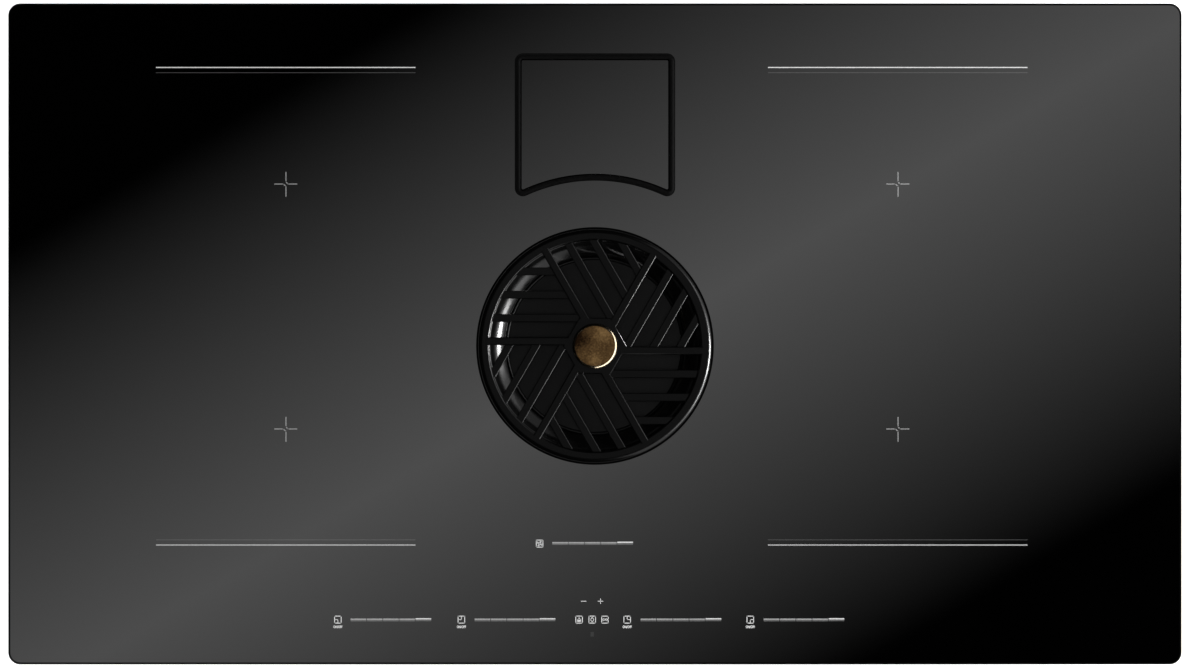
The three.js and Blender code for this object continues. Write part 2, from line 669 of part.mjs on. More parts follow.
// Aluminium bridge over the power board, standing on two folded legs, with a window under each coil.
function coilBridge() {
  const halfWidth = BRIDGE_WIDTH / 2;
  const halfDepth = BRIDGE_DEPTH / 2;
  const sheet = 1.5;
  const footWidth = 14;
  const foot = PAN_INSIDE + TOUCH;
  const deck = block(-halfWidth, halfWidth, -halfDepth, halfDepth, BRIDGE_TOP - sheet, BRIDGE_TOP);
  const legs = [-1, 1].flatMap((end) => {
    const legY = end * (halfDepth - sheet / 2);
    const footY = end * (halfDepth - footWidth / 2);
    return [
      centredBlock(0, legY, BRIDGE_WIDTH, sheet, foot, BRIDGE_TOP),
      centredBlock(0, footY, BRIDGE_WIDTH, footWidth, foot, foot + sheet),
    ];
  });
  const windows = [ZONE_REAR, ZONE_FRONT].map(
    (y) => bar(12, BRIDGE_TOP - 5, BRIDGE_TOP + 5, 0, y - BRIDGE_Y),
  );
  return cut(join(deck, ...legs), ...windows);
}

// Stand-offs that hold a circuit board above the pan.
function standOffs(halfWidth, halfDepth, y = 0) {
  return [[-1, -1], [1, -1], [-1, 1], [1, 1]].map(
    ([i, j]) => bar(4, PAN_INSIDE + TOUCH, BOARD_LEVEL + 0.5, i * halfWidth, y + j * halfDepth, 6),
  );
}

// Circuit board with its tall parts: three film capacitors, two inductors and a long row of plugs.
function powerBoard(inward) {
  const seat = BOARD_TOP - 0.5;
  const capacitors = [-120, -92, -64].map((y) => centredBlock(-64 * inward, y, 32, 18, seat, BOARD_TOP + 24));
  const inductors = [-110, -70].map((y) => bar(17, seat, BOARD_TOP + 22, 10 * inward, y));
  return join(
    centredBlock(0, 0, 192, 300, BOARD_LEVEL, BOARD_TOP),
    ...standOffs(88, 142),
    ...capacitors,
    ...inductors,
    centredBlock(74 * inward, -55, 28, 150, seat, BOARD_TOP + 12),
  );
}

// Extruded heatsink, fins across the hob so that the fan blows along them.
function heatsink() {
  const foot = BOARD_TOP + GAP;
  const base = 5;
  const length = 130;
  const middle = -15;
  const fins = 10;
  const pitch = 7;
  const pieces = [centredBlock(middle, 0, length, 68, foot, foot + base)];
  for (let i = 0; i < fins; i += 1) {
    const y = (i - (fins - 1) / 2) * pitch;
    pieces.push(centredBlock(middle, y, length, 2, foot + base - 1, BRIDGE_TOP - 7));
  }
  return join(...pieces);
}

// Flat centrifugal fan that draws through the pan's louvres and blows inwards along +X.
function coolingFanHousing() {
  const wall = 1.6;
  const radius = 38;
  const mouth = 40;
  const intake = 23;
  const outline = (r, end) => new THREE.Shape([
    ...arc(0, 0, r, Math.PI / 2, 1.75 * Math.PI, 12),
    new THREE.Vector2(end, -r * Math.SQRT1_2),
    new THREE.Vector2(end, r),
  ]);
  return cut(
    slab(outline(radius, mouth), FAN_FOOT, FAN_FOOT + FAN_HEIGHT),
    slab(outline(radius - wall, mouth + 1), FAN_FOOT + wall, FAN_FOOT + FAN_HEIGHT - wall),
    bar(intake, FAN_FOOT - 1, FAN_FOOT + wall + 1, 0, 0, 16),
  );
}

// Rotor: a hub cup on a back plate, with straight blades round its rim.
function coolingRotor() {
  const foot = FAN_FOOT + 3;
  const top = FAN_FOOT + FAN_HEIGHT - 3;
  const plate = 1.5;
  const hub = 11;
  const rim = 32;
  const blades = 12;
  const bladeLength = 9;
  const pieces = [turned([
    [0, top - 14], [hub, top - 14], [hub, top - plate], [rim, top - plate], [rim, top], [0, top],
  ], 0, 0, 16)];
  for (let i = 0; i < blades; i += 1) {
    const blade = new THREE.BoxGeometry(bladeLength, 1, top - foot - 1);
    blade.rotateZ(0.5);
    blade.translate(rim - 5.5, 0, (top + foot - 1) / 2);
    blade.rotateZ(2 * Math.PI * i / blades);
    pieces.push(solid(blade));
  }
  return join(...pieces);
}

for (const [side, x, inward] of [['left', ZONE_LEFT, 1], ['right', ZONE_RIGHT, -1]]) {
  const fanX = -inward * FAN_X;
  const turn = inward > 0 ? 0 : Math.PI;
  const mat = centredBlock(x, BRIDGE_Y, BRIDGE_WIDTH, BRIDGE_DEPTH, windingTop + GAP, GLASS_UNDER - 0.5);
  add(`coil_bridge_${side}`, coilBridge(), ALUMINIUM(), [x, BRIDGE_Y, 0]);
  add(`power_board_${side}`, powerBoard(inward), BOARD(), [x, BRIDGE_Y, 0]);
  add(`heatsink_${side}`, heatsink(), ALUMINIUM(), [x, FAN_Y, 0], turn);
  add(`cooling_fan_housing_${side}`, coolingFanHousing(), BLACK_PLASTIC(), [fanX, FAN_Y, 0], turn);
  add(`cooling_rotor_${side}`, coolingRotor(), GREY_PLASTIC(), [fanX, FAN_Y, 0]);
  add(`insulation_mat_${side}`, mat, MINERAL_MAT());
}

// Mains filter between the inlet and the touch controls: two chokes, a capacitor and a relay block.
function mainsFilterBoard() {
  const y = -140;
  const seat = BOARD_TOP - 0.5;
  return join(
    centredBlock(0, y, 180, 80, BOARD_LEVEL, BOARD_TOP),
    ...standOffs(84, 34, y),
    bar(16, seat, BOARD_TOP + 20, -40, y),
    bar(16, seat, BOARD_TOP + 20, 0, y),
    centredBlock(38, y, 16, 44, seat, BOARD_TOP + 26),
    centredBlock(70, y, 28, 54, seat, BOARD_TOP + 14),
  );
}
add('mains_filter_board', mainsFilterBoard(), BOARD());

// ---- Touch controls --------------------------------------------------------------------------------

// T-shaped board: the long row of keys at the front edge and a tab back to the fan slider.
const CONTROL_LEFT = -212;
const CONTROL_RIGHT = 200;
const CONTROL_FRONT = -232.5;
const CONTROL_REAR = -197;
const TAB_LEFT = -54;
const TAB_RIGHT = 42;
const TAB_REAR = -150;
const CONTROL_LEVEL = 208.5;
const CARRIER_FOOT = 198;
function controlOutline(grow) {
  const shape = new THREE.Shape();
  shape.moveTo(CONTROL_LEFT - grow, CONTROL_FRONT - grow);
  shape.lineTo(CONTROL_RIGHT + grow, CONTROL_FRONT - grow);
  shape.lineTo(CONTROL_RIGHT + grow, CONTROL_REAR + grow);
  shape.lineTo(TAB_RIGHT + grow, CONTROL_REAR + grow);
  shape.lineTo(TAB_RIGHT + grow, TAB_REAR + grow);
  shape.lineTo(TAB_LEFT - grow, TAB_REAR + grow);
  shape.lineTo(TAB_LEFT - grow, CONTROL_REAR + grow);
  shape.lineTo(CONTROL_LEFT - grow, CONTROL_REAR + grow);
  shape.closePath();
  return shape;
}
const controlTop = GLASS_UNDER - 0.4;
add('touch_board', slab(controlOutline(0), CONTROL_LEVEL, controlTop), BOARD());
const carrierLegs = [[-190, -214], [190, -214], [-40, -187], [30, -187]].map(
  ([x, y]) => bar(4, PAN_INSIDE + TOUCH, CARRIER_FOOT + 1, x, y, 8),
);
add('touch_carrier', join(
  cut(
    slab(controlOutline(2), CARRIER_FOOT, controlTop),
    slab(controlOutline(GAP), CONTROL_LEVEL - GAP, GLASS_UNDER + 1),
    slab(controlOutline(-3), CARRIER_FOOT + 2, GLASS_UNDER + 1),
  ),
  ...carrierLegs,
), BLACK_PLASTIC());

// ---- Air module: collector tub and drip tray -------------------------------------------------------

const TRAY_WIDTH = 150;
const TRAY_X = -20;
const TRAY_FOOT = MODULE_WALL + GAP;
const TRAY_TOP = 36;
const TRAY_WALL = 2;
const TRAY_CORNER = 8;
const DUCT_FLOOR = 94;
const RIB_DEPTH = 3;
const RIB_THICKNESS = 2;

// Upright stiffening ribs on the tub's left and rear walls.
function tubRibs() {
  const top = TUB_TOP - 10;
  const leftRibs = [-90, -30, 30, 90].map(
    (y) => centredBlock(TUB_LEFT - 1, y, 2 * RIB_DEPTH - 2, RIB_THICKNESS, 0, top),
  );
  const rearRibs = [-80, -20, 40].map(
    (x) => centredBlock(x, TUB_REAR + 1, RIB_THICKNESS, 2 * RIB_DEPTH - 2, 0, top),
  );
  return [...leftRibs, ...rearRibs];
}

// Open-mouthed tub below the throat. The tray slides in through its front, the air leaves to the right.
function collectorTub() {
  const lid = TUB_TOP - MODULE_WALL;
  const bossInset = 16;
  const bosses = [[-1, -1], [1, -1], [-1, 1], [1, 1]].map(([i, j]) => bar(
    6, TUB_TOP - 1, PAN_FLOOR - GAP,
    (TUB_LEFT + TUB_RIGHT) / 2 + i * ((TUB_RIGHT - TUB_LEFT) / 2 - bossInset),
    (TUB_FRONT + TUB_REAR) / 2 + j * ((TUB_REAR - TUB_FRONT) / 2 - bossInset),
  ));
  const body = roundedBlock(TUB_LEFT, TUB_RIGHT, TUB_FRONT, TUB_REAR, 0, TUB_TOP, TUB_CORNER);
  const hollow = roundedBlock(
    TUB_LEFT + MODULE_WALL, TUB_RIGHT - MODULE_WALL, TUB_FRONT + MODULE_WALL, TUB_REAR - MODULE_WALL,
    MODULE_WALL, lid, TUB_CORNER - MODULE_WALL,
  );
  const trayMouth = block(
    TRAY_X - TRAY_WIDTH / 2 - 1, TRAY_X + TRAY_WIDTH / 2 + 1,
    TUB_FRONT - 1, TUB_FRONT + MODULE_WALL + 1, MODULE_WALL, TRAY_TOP + 2,
  );
  const ductMouth = block(TUB_RIGHT - MODULE_WALL - 1, TUB_RIGHT + 1, -100, 80, DUCT_FLOOR, lid);
  const throatHole = bar(THROAT_RADIUS + COLLAR_WALL + 1.5, lid - 1, TUB_TOP + 1, 0, INLET_Y, COARSE);
  return cut(join(body, ...tubRibs(), ...bosses), hollow, throatHole, trayMouth, ductMouth);
}
add('collector_tub', collectorTub(), BLACK_PLASTIC());
add('collector_seal', ring(
  THROAT_RADIUS + 4.5, THROAT_RADIUS + 11, TUB_TOP, PAN_FLOOR, 0, INLET_Y, COARSE,
), FOAM());

// Drip tray with a front plate and a finger pull along its upper edge.
function dripTray() {
  const frontY = TUB_FRONT - 4;
  const rearY = TUB_REAR - 20;
  const half = TRAY_WIDTH / 2;
  const [left, right] = [TRAY_X - half, TRAY_X + half];
  const box = roundedBlock(left, right, TUB_FRONT - 2, rearY, TRAY_FOOT, TRAY_TOP, TRAY_CORNER);
  const plate = block(left - 6, right + 6, frontY, TUB_FRONT - GAP, TRAY_FOOT, TRAY_TOP + 6);
  const pull = block(TRAY_X - 30, TRAY_X + 30, frontY - 14, frontY + 1, TRAY_TOP, TRAY_TOP + 3);
  const well = roundedBlock(
    left + TRAY_WALL, right - TRAY_WALL, TUB_FRONT + 1, rearY - TRAY_WALL,
    TRAY_FOOT + TRAY_WALL, TRAY_TOP + 1, TRAY_CORNER - TRAY_WALL,
  );
  return cut(join(box, plate, pull), well);
}
add('drip_tray', dripTray(), GREY_PLASTIC());

// ---- Air module: blower ----------------------------------------------------------------------------

const TONGUE = 2 * Math.PI / 3;
const SPIGOT_LEFT = BLOWER_X + SCROLL_END_RADIUS + 2 - SPIGOT_WIDTH;
const CHANNEL_RADIUS = 108;
const COVER_TOP = SCROLL_TOP + GAP + 3;

// Spiral outline in plan: the radius grows steadily from the tongue, and the outlet opens to the rear.
function scrollOutline(grow, start) {
  const steps = 24;
  const points = Array.from({ length: steps + 1 }, (_, i) => {
    const angle = start + (2 * Math.PI - start) * i / steps;
    const swept = (angle - TONGUE) / (2 * Math.PI - TONGUE);
    const radius = SCROLL_START_RADIUS + (SCROLL_END_RADIUS - SCROLL_START_RADIUS) * swept + grow;
    return new THREE.Vector2(BLOWER_X + radius * Math.cos(angle), BLOWER_Y + radius * Math.sin(angle));
  });
  points.push(new THREE.Vector2(BLOWER_X + SCROLL_END_RADIUS + grow, SCROLL_REAR));
  points.push(new THREE.Vector2(SPIGOT_LEFT + 2 - grow, SCROLL_REAR));
  return new THREE.Shape(points);
}
const outerScroll = () => scrollOutline(2, TONGUE + 0.7);

// Lower shell, closed by the cover plate.
function blowerScroll() {
  const outlet = block(
    SPIGOT_LEFT + 2, BLOWER_X + SCROLL_END_RADIUS, SCROLL_REAR - 2, SCROLL_REAR + 1,
    MODULE_WALL, SCROLL_TOP + 1,
  );
  const inside = slab(scrollOutline(0, TONGUE), MODULE_WALL, SCROLL_TOP + 1);
  return cut(slab(outerScroll(), 0, SCROLL_TOP), inside, outlet);
}
add('blower_scroll', blowerScroll(), BLACK_PLASTIC());

// Channel outline: straight from the tub, ending in a half round about the blower's axis.
function channelOutline(grow) {
  const radius = CHANNEL_RADIUS + grow;
  return new THREE.Shape([
    new THREE.Vector2(TUB_RIGHT + GAP, BLOWER_Y - radius),
    ...arc(BLOWER_X, BLOWER_Y, radius, -Math.PI / 2, Math.PI / 2, 16),
    new THREE.Vector2(TUB_RIGHT + GAP, BLOWER_Y + radius),
  ]);
}

// Cover of the scroll and floor of the channel, with the inlet nozzle that dips into the impeller's eye.
function scrollCover() {
  const nozzleInside = IMPELLER_EYE - 2;
  const nozzleFoot = 80;
  const nozzle = turned([
    [nozzleInside, nozzleFoot],
    [IMPELLER_EYE, nozzleFoot],
    [IMPELLER_EYE + 5, COVER_TOP - 1],
    [nozzleInside, COVER_TOP - 1],
    [nozzleInside, nozzleFoot],
  ], BLOWER_X, BLOWER_Y, COARSE);
  const flow = turned([
    [0, nozzleFoot - 10],
    [nozzleInside, nozzleFoot - 10],
    [nozzleInside, nozzleFoot + 2],
    [IMPELLER_EYE + 1.5, COVER_TOP],
    [IMPELLER_EYE + 1.5, COVER_TOP + 10],
    [0, COVER_TOP + 10],
  ], BLOWER_X, BLOWER_Y, COARSE);
  const plates = [outerScroll(), channelOutline(0)].map((shape) => slab(shape, SCROLL_TOP + GAP, COVER_TOP));
  return cut(join(...plates, nozzle), flow);
}
add('scroll_cover', scrollCover(), BLACK_PLASTIC());

// Hood over the channel, screwed to the pan's floor through two bosses and open towards the tub.
function suctionChannel() {
  const lid = TUB_TOP - MODULE_WALL;
  const bosses = [-60, 60].map((y) => bar(6, TUB_TOP - 1, PAN_FLOOR - GAP, BLOWER_X + 60, BLOWER_Y + y));
  const mouth = CHANNEL_RADIUS - MODULE_WALL;
  return cut(
    join(slab(channelOutline(0), COVER_TOP + GAP, TUB_TOP), ...bosses),
    slab(channelOutline(-MODULE_WALL), COVER_TOP - 1, lid),
    block(TUB_RIGHT - 1, TUB_RIGHT + 6, BLOWER_Y - mouth, BLOWER_Y + mouth, COVER_TOP - 1, lid),
  );
}
add('suction_channel', suctionChannel(), BLACK_PLASTIC());

// Impeller: back plate with a dome over the motor, a ring of forward-curved blades, and a shroud ring.
const DOME_RADIUS = 40;
const DOME_TOP = 46;
const SHAFT_RADIUS = 4;
function impeller() {
  const bore = SHAFT_RADIUS + 0.2;
  const backPlate = 12;
  const wall = 2;
  const disc = turned([
    [bore, DOME_TOP - 8],
    [2 * SHAFT_RADIUS, DOME_TOP - 8],
    [2 * SHAFT_RADIUS, DOME_TOP - wall],
    [DOME_RADIUS - 2 * wall, DOME_TOP - wall],
    [DOME_RADIUS - wall, DOME_TOP - 2 * wall],
    [DOME_RADIUS - wall, backPlate],
    [IMPELLER_RADIUS, backPlate],
    [IMPELLER_RADIUS, backPlate + wall],
    [DOME_RADIUS, backPlate + wall],
    [DOME_RADIUS, DOME_TOP - 3],
    [DOME_RADIUS - 3, DOME_TOP],
    [bore, DOME_TOP],
    [bore, DOME_TOP - 8],
  ], 0, 0, COARSE);
  const shroud = ring(IMPELLER_EYE + 9, IMPELLER_RADIUS, 72, 74, 0, 0, COARSE);
  const [inner, outer, thickness, sweep] = [IMPELLER_EYE + 11, IMPELLER_RADIUS - 1, 1.2, 7];
  const section = new THREE.Shape();
  section.moveTo(inner, 0);
  section.quadraticCurveTo(inner + 8, 0.5, outer, sweep);
  section.lineTo(outer - 1, sweep + thickness);
  section.quadraticCurveTo(inner + 7, thickness + 0.5, inner, thickness);
  section.closePath();
  const blades = Array.from({ length: BLADES }, (_, i) => {
    const blade = new THREE.ExtrudeGeometry(section, { depth: 60, bevelEnabled: false, curveSegments: 2 });
    blade.translate(0, 0, backPlate + 1);
    blade.rotateZ(2 * Math.PI * i / BLADES);
    return solid(blade);
  });
  return join(disc, shroud, ...blades);
}
add('impeller', impeller(), GREY_PLASTIC(), [BLOWER_X, BLOWER_Y, 0]);

// Motor on the scroll's floor, under the impeller's dome, with its shaft in an open bore.
const motorFoot = MODULE_WALL + TOUCH;
const motorBore = SHAFT_RADIUS + 0.6;
add('blower_motor', turned([
  [motorBore, motorFoot],
  [36, motorFoot],
  [36, 8],
  [34.5, 9.5],
  [34.5, 30],
  [31, 34],
  [12, 34],
  [12, 36],
  [motorBore, 36],
  [motorBore, motorFoot],
], BLOWER_X, BLOWER_Y, 20), STEEL());
add('motor_shaft', bar(SHAFT_RADIUS, 8, DOME_TOP - 0.5, BLOWER_X, BLOWER_Y), STEEL());

// Rectangular outlet adaptor with a flange against the scroll, where the flat duct pushes on.
function spigot() {
  const wall = 2;
  const flangeRim = 8;
  const flangeThickness = 3;
  const half = SPIGOT_WIDTH / 2;
  const x = SPIGOT_LEFT + half;
  const front = SCROLL_REAR + GAP;
  const rim = half + flangeRim;
  const flange = block(x - rim, x + rim, front, front + flangeThickness, 0, SPIGOT_HEIGHT + 2);
  const duct = block(x - half, x + half, front, SPIGOT_END, 0, SPIGOT_HEIGHT);
  const bore = block(
    x - half + wall, x + half - wall, front - 1, SPIGOT_END + 1, wall, SPIGOT_HEIGHT - wall,
  );
  return cut(join(flange, duct), bore);
}
add('outlet_spigot', spigot(), BLACK_PLASTIC());

// ---- Wiring boxes under the pan --------------------------------------------------------------------

// Blower control box beside the tub, with a plug socket in its left end.
const boxTop = PAN_FLOOR - GAP;
add('blower_control_box', cut(
  roundedBlock(-270, -160, -95, 55, 100, boxTop, 6),
  block(-271, -266, -60, -40, 112, 126),
), GREY_PLASTIC());

// Terminal box: open at the rear, closed by a cover, with a gland for the supply cable.
const terminalRear = TERMINAL_Y + TERMINAL_DEPTH / 2;
const terminalLeft = TERMINAL_X - TERMINAL_WIDTH / 2;
const glandY = TERMINAL_Y + 5;
const glandZ = TERMINAL_FOOT + 21;

// A round or six-sided bar along X, centred on the gland's axis.
function glandBar(outer, inner, length, x, sides = SMALL) {
  const geometry = new THREE.CylinderGeometry(outer, inner, length, sides);
  geometry.rotateZ(Math.PI / 2);
  geometry.translate(x, glandY, glandZ);
  return solid(geometry);
}
function terminalBox() {
  const wall = 2.5;
  const front = TERMINAL_Y - TERMINAL_DEPTH / 2;
  const right = terminalLeft + TERMINAL_WIDTH;
  return cut(
    block(terminalLeft, right, front, terminalRear, TERMINAL_FOOT, boxTop),
    block(
      terminalLeft + wall, right - wall, front + wall, terminalRear + 1,
      TERMINAL_FOOT + wall, boxTop - wall,
    ),
    glandBar(10.4, 10.4, 10, terminalLeft),
  );
}
add('terminal_box', terminalBox(), BLACK_PLASTIC());
const coverThickness = 2.5;
add('terminal_cover', centredBlock(
  TERMINAL_X, terminalRear + GAP + coverThickness / 2,
  TERMINAL_WIDTH + 2, coverThickness, TERMINAL_FOOT - 1, boxTop,
), BLACK_PLASTIC());

// Gland: hexagonal body, domed nut with a tapered end, threaded shank through the wall, open bore.
const glandFace = terminalLeft - GAP;
add('cable_gland', cut(
  join(
    glandBar(14.5, 14.5, 6, glandFace - 3, 6),
    glandBar(13, 13, 10, glandFace - 10),
    glandBar(13, 9, 6, glandFace - 18),
    glandBar(10, 10, 12, glandFace + 5),
  ),
  glandBar(6, 6, 60, glandFace),
), GREY_PLASTIC());

export default assembly;
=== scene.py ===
import bpy
import bmesh
import math
from math import cos, pi, radians, sin, sqrt
from mathutils import Matrix, Vector


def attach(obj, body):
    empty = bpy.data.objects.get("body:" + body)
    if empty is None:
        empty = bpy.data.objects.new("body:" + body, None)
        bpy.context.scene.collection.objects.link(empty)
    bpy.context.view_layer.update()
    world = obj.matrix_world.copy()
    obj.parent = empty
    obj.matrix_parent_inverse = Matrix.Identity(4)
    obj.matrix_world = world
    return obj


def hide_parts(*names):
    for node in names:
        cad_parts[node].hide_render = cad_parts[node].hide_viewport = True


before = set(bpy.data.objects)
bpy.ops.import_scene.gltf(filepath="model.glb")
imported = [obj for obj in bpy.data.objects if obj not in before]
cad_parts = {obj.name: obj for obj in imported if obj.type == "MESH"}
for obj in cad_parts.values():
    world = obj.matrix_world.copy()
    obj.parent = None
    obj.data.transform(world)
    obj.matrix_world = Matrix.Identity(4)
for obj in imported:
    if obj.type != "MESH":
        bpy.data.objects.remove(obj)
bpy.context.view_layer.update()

# ---- Glass top -------------------------------------------------------------------------------------
# One pane of black glass-ceramic, 4 mm thick. Its rim is ground to a narrow bevel and left matt. The
# round hole for the inlet and the shaped one for the scale are cut by water jet. Lengths are in mm.

HOB_WIDTH = 900
HOB_DEPTH = 507
GLASS_CORNER = 9.2
GLASS_TOP = 216
GLASS_UNDER = 212
CHAMFER = 1.5
INLET_Y = -9.2
INLET_HOLE = 84.4
GLASS_INDEX = 1.52
SAME_POINT = 1e-4


def swing(bm, x, y, radius, start, end, z, steps):
    """Arc about x, y, drawn by turning one point. Gives the points at its two ends."""
    first = bm.verts.new((x + radius * cos(start), y + radius * sin(start), z))
    turn = bmesh.ops.spin(bm, geom=[first], cent=(x, y, 0), axis=(0, 0, 1), angle=end - start, steps=steps)
    return first, turn["geom_last"][0]


def closed(bm, arcs):
    """One closed line from arcs that follow each other."""
    for (_, end), (start, _) in zip(arcs, arcs[1:] + arcs[:1]):
        bm.edges.new((end, start))


def pane_outline(bm, grow, z):
    """The whole pane with its round corners, larger all round by `grow`, at level z."""
    r = GLASS_CORNER + grow
    w, d = HOB_WIDTH / 2 + grow - r, HOB_DEPTH / 2 + grow - r
    closed(bm, [swing(bm, w * a, d * b, r, q * pi / 2, (q + 1) * pi / 2, z, 12)
                for q, (a, b) in enumerate(((1, 1), (-1, 1), (-1, -1), (1, -1)))])


def inlet_outline(bm, grow, z):
    """The hole for the collar."""
    place = Matrix.Translation((0, INLET_Y, z))
    bmesh.ops.create_circle(bm, segments=96, radius=INLET_HOLE + grow, matrix=place)


def scale_outline(bm, grow, z):
    """The scale's platform: straight sides and rear, and a front that is an arc about the inlet."""
    w, rear, front, r = 56.7 + grow, 210.4 + grow, 131.6 - grow, max(1.4 + grow, 1)
    rise = sqrt((front + r) ** 2 - (w - r) ** 2)
    lean = math.atan2(rise, w - r)
    closed(bm, [
        swing(bm, w - r, rear - r, r, 0, pi / 2, z, 8),
        swing(bm, r - w, rear - r, r, pi / 2, pi, z, 8),
        swing(bm, r - w, INLET_Y + rise, r, pi, 2 * pi - lean, z, 8),
        swing(bm, 0, INLET_Y, front, pi - lean, lean, z, 40),
        swing(bm, w - r, INLET_Y + rise, r, pi + lean, 2 * pi, z, 8),
    ])


def layers(bm, line, levels):
    """Wall through one outline drawn at several [grow, z] levels. Gives each level's edges."""
    loops = []
    for grow, z in levels:
        before = set(bm.edges)
        line(bm, grow, z)
        drawn = [edge for edge in bm.edges if edge not in before]
        ends = list({point for edge in drawn for point in edge.verts})
        bmesh.ops.remove_doubles(bm, verts=ends, dist=SAME_POINT)
        loops.append([edge for edge in bm.edges if edge not in before])
    for lower, upper in zip(loops, loops[1:]):
        bmesh.ops.bridge_loops(bm, edges=lower + upper)
    return loops


def filled(bm, *loops):
    """Flat face between an outline and its holes."""
    edges = [edge for loop in loops for edge in loop]
    bmesh.ops.triangle_fill(bm, edges=edges, use_beauty=True, use_dissolve=False, normal=(0, 0, 1))


def as_object(name, bm):
    """Object made of a mesh, which is used up."""
    mesh = bpy.data.meshes.new(name)
    bm.to_mesh(mesh)
    bm.free()
    made = bpy.data.objects.new(name, mesh)
    bpy.context.scene.collection.objects.link(made)
    return made


def make(name, bm, finish, body, slot, *nodes, sharp=32):
    """Turns a mesh drawn in mm into a piece that rides on a body and stands for CAD nodes.

    Edges flatter than `sharp` degrees are shaded smooth, except where a level face meets a slope.
    """
    bmesh.ops.remove_doubles(bm, verts=bm.verts, dist=SAME_POINT)
    bmesh.ops.recalc_face_normals(bm, faces=bm.faces)
    bmesh.ops.scale(bm, vec=(0.001, 0.001, 0.001), verts=bm.verts)
    bm.normal_update()
    for face in bm.faces:
        face.smooth = True
    for edge in bm.edges:
        level = [abs(face.normal.z) > 0.9999 for face in edge.link_faces]
        alike = level in ([True, True], [False, False])
        edge.smooth = alike and edge.calc_face_angle(0) < radians(sharp)
    piece = as_object(name, bm)
    piece.data.materials.append(finish)
    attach(piece, body)
    if nodes:
        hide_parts(*nodes)
    return piece


def base(name, colour, roughness, metallic=0.0, specular=0.5):
    """A material with one shader, whose even values are set on the shader itself."""
    made = bpy.data.materials.new(name)
    made.use_nodes = True
    shader = made.node_tree.nodes["Principled BSDF"]
    shader.inputs["Base Color"].default_value = (*colour, 1)
    shader.inputs["Roughness"].default_value = roughness
    shader.inputs["Metallic"].default_value = metallic
    shader.inputs["Specular IOR Level"].default_value = specular
    made.diffuse_color = (*colour, 1)
    return made


def pattern(made, kind, scale, stretch=(1, 1, 1), shift=(0, 0, 0), **inputs):
    """A texture over the object's own coordinates, `scale` to the metre."""
    tree = made.node_tree
    place = tree.nodes.new("ShaderNodeTexCoord")
    fit = tree.nodes.new("ShaderNodeMapping")
    fit.inputs["Location"].default_value = shift
    fit.inputs["Scale"].default_value = stretch
    texture = tree.nodes.new("ShaderNodeTex" + kind)
    tree.links.new(place.outputs["Object"], fit.inputs["Vector"])
    tree.links.new(fit.outputs["Vector"], texture.inputs["Vector"])
    if scale:
        texture.inputs["Scale"].default_value = scale
    for socket, value in inputs.items():
        texture.inputs[socket].default_value = value
    return texture


def tint(made, source, *stops):
    """Base colour that runs through [place, colour] stops as the source goes from 0 to 1."""
    tree = made.node_tree
    ramp = tree.nodes.new("ShaderNodeValToRGB")
    while len(ramp.color_ramp.elements) < len(stops):
        ramp.color_ramp.elements.new(0.5)
    for element, (place, colour) in zip(ramp.color_ramp.elements, stops):
        element.position = place
        element.color = (*colour, 1)
    tree.links.new(source, ramp.inputs["Fac"])
    tree.links.new(ramp.outputs["Color"], tree.nodes["Principled BSDF"].inputs["Base Color"])


def ranged(tree, source, low, high, start=0.0, end=1.0):
    """The source's run from `start` to `end`, mapped to run from `low` to `high`."""
    fitted = tree.nodes.new("ShaderNodeMapRange")
    for socket, value in (("From Min", start), ("From Max", end), ("To Min", low), ("To Max", high)):
        fitted.inputs[socket].default_value = value
    tree.links.new(source, fitted.inputs["Value"])
    return fitted.outputs["Result"]


def vary(made, source, low, high):
    """Roughness that drifts between two limits with the source."""
    tree = made.node_tree
    tree.links.new(ranged(tree, source, low, high), tree.nodes["Principled BSDF"].inputs["Roughness"])


def relief(made, source, height, strength=1.0):
    """Fine unevenness of the surface, `height` in metres. A second call adds to the first."""
    tree = made.node_tree
    normal = tree.nodes["Principled BSDF"].inputs["Normal"]
    bump = tree.nodes.new("ShaderNodeBump")
    bump.inputs["Distance"].default_value = height
    bump.inputs["Strength"].default_value = strength
    if normal.links:
        tree.links.new(normal.links[0].from_socket, bump.inputs["Normal"])
    tree.links.new(source, bump.inputs["Height"])
    tree.links.new(bump.outputs["Normal"], normal)


black_glass = base("black_glass", (0.0002, 0.0002, 0.0002), 0.03)
black_glass.node_tree.nodes["Principled BSDF"].inputs["IOR"].default_value = GLASS_INDEX
cloud = pattern(black_glass, "Noise", 7, Detail=3).outputs["Fac"]
tint(black_glass, cloud, (0.3, (0.0001, 0.0001, 0.0001)), (0.7, (0.0003, 0.0003, 0.0003)))
vary(black_glass, cloud, 0.02, 0.04)

pane = bmesh.new()
rim = layers(pane, pane_outline, [(-0.4, GLASS_UNDER), (0, 212.4), (0, 215.35), (-CHAMFER, GLASS_TOP)])
hole = layers(pane, inlet_outline, [(0.2, GLASS_UNDER), (0, 212.3), (0, 215.7), (0.3, GLASS_TOP)])
window = layers(pane, scale_outline, [(4.8, GLASS_UNDER), (4.6, 212.3), (4.6, 215.8), (4.8, GLASS_TOP)])
filled(pane, rim[0], hole[0], window[0])
filled(pane, rim[-1], hole[-1], window[-1])
glass = make("glass_pane", pane, black_glass, "hob", "black_glass", "glass_top")

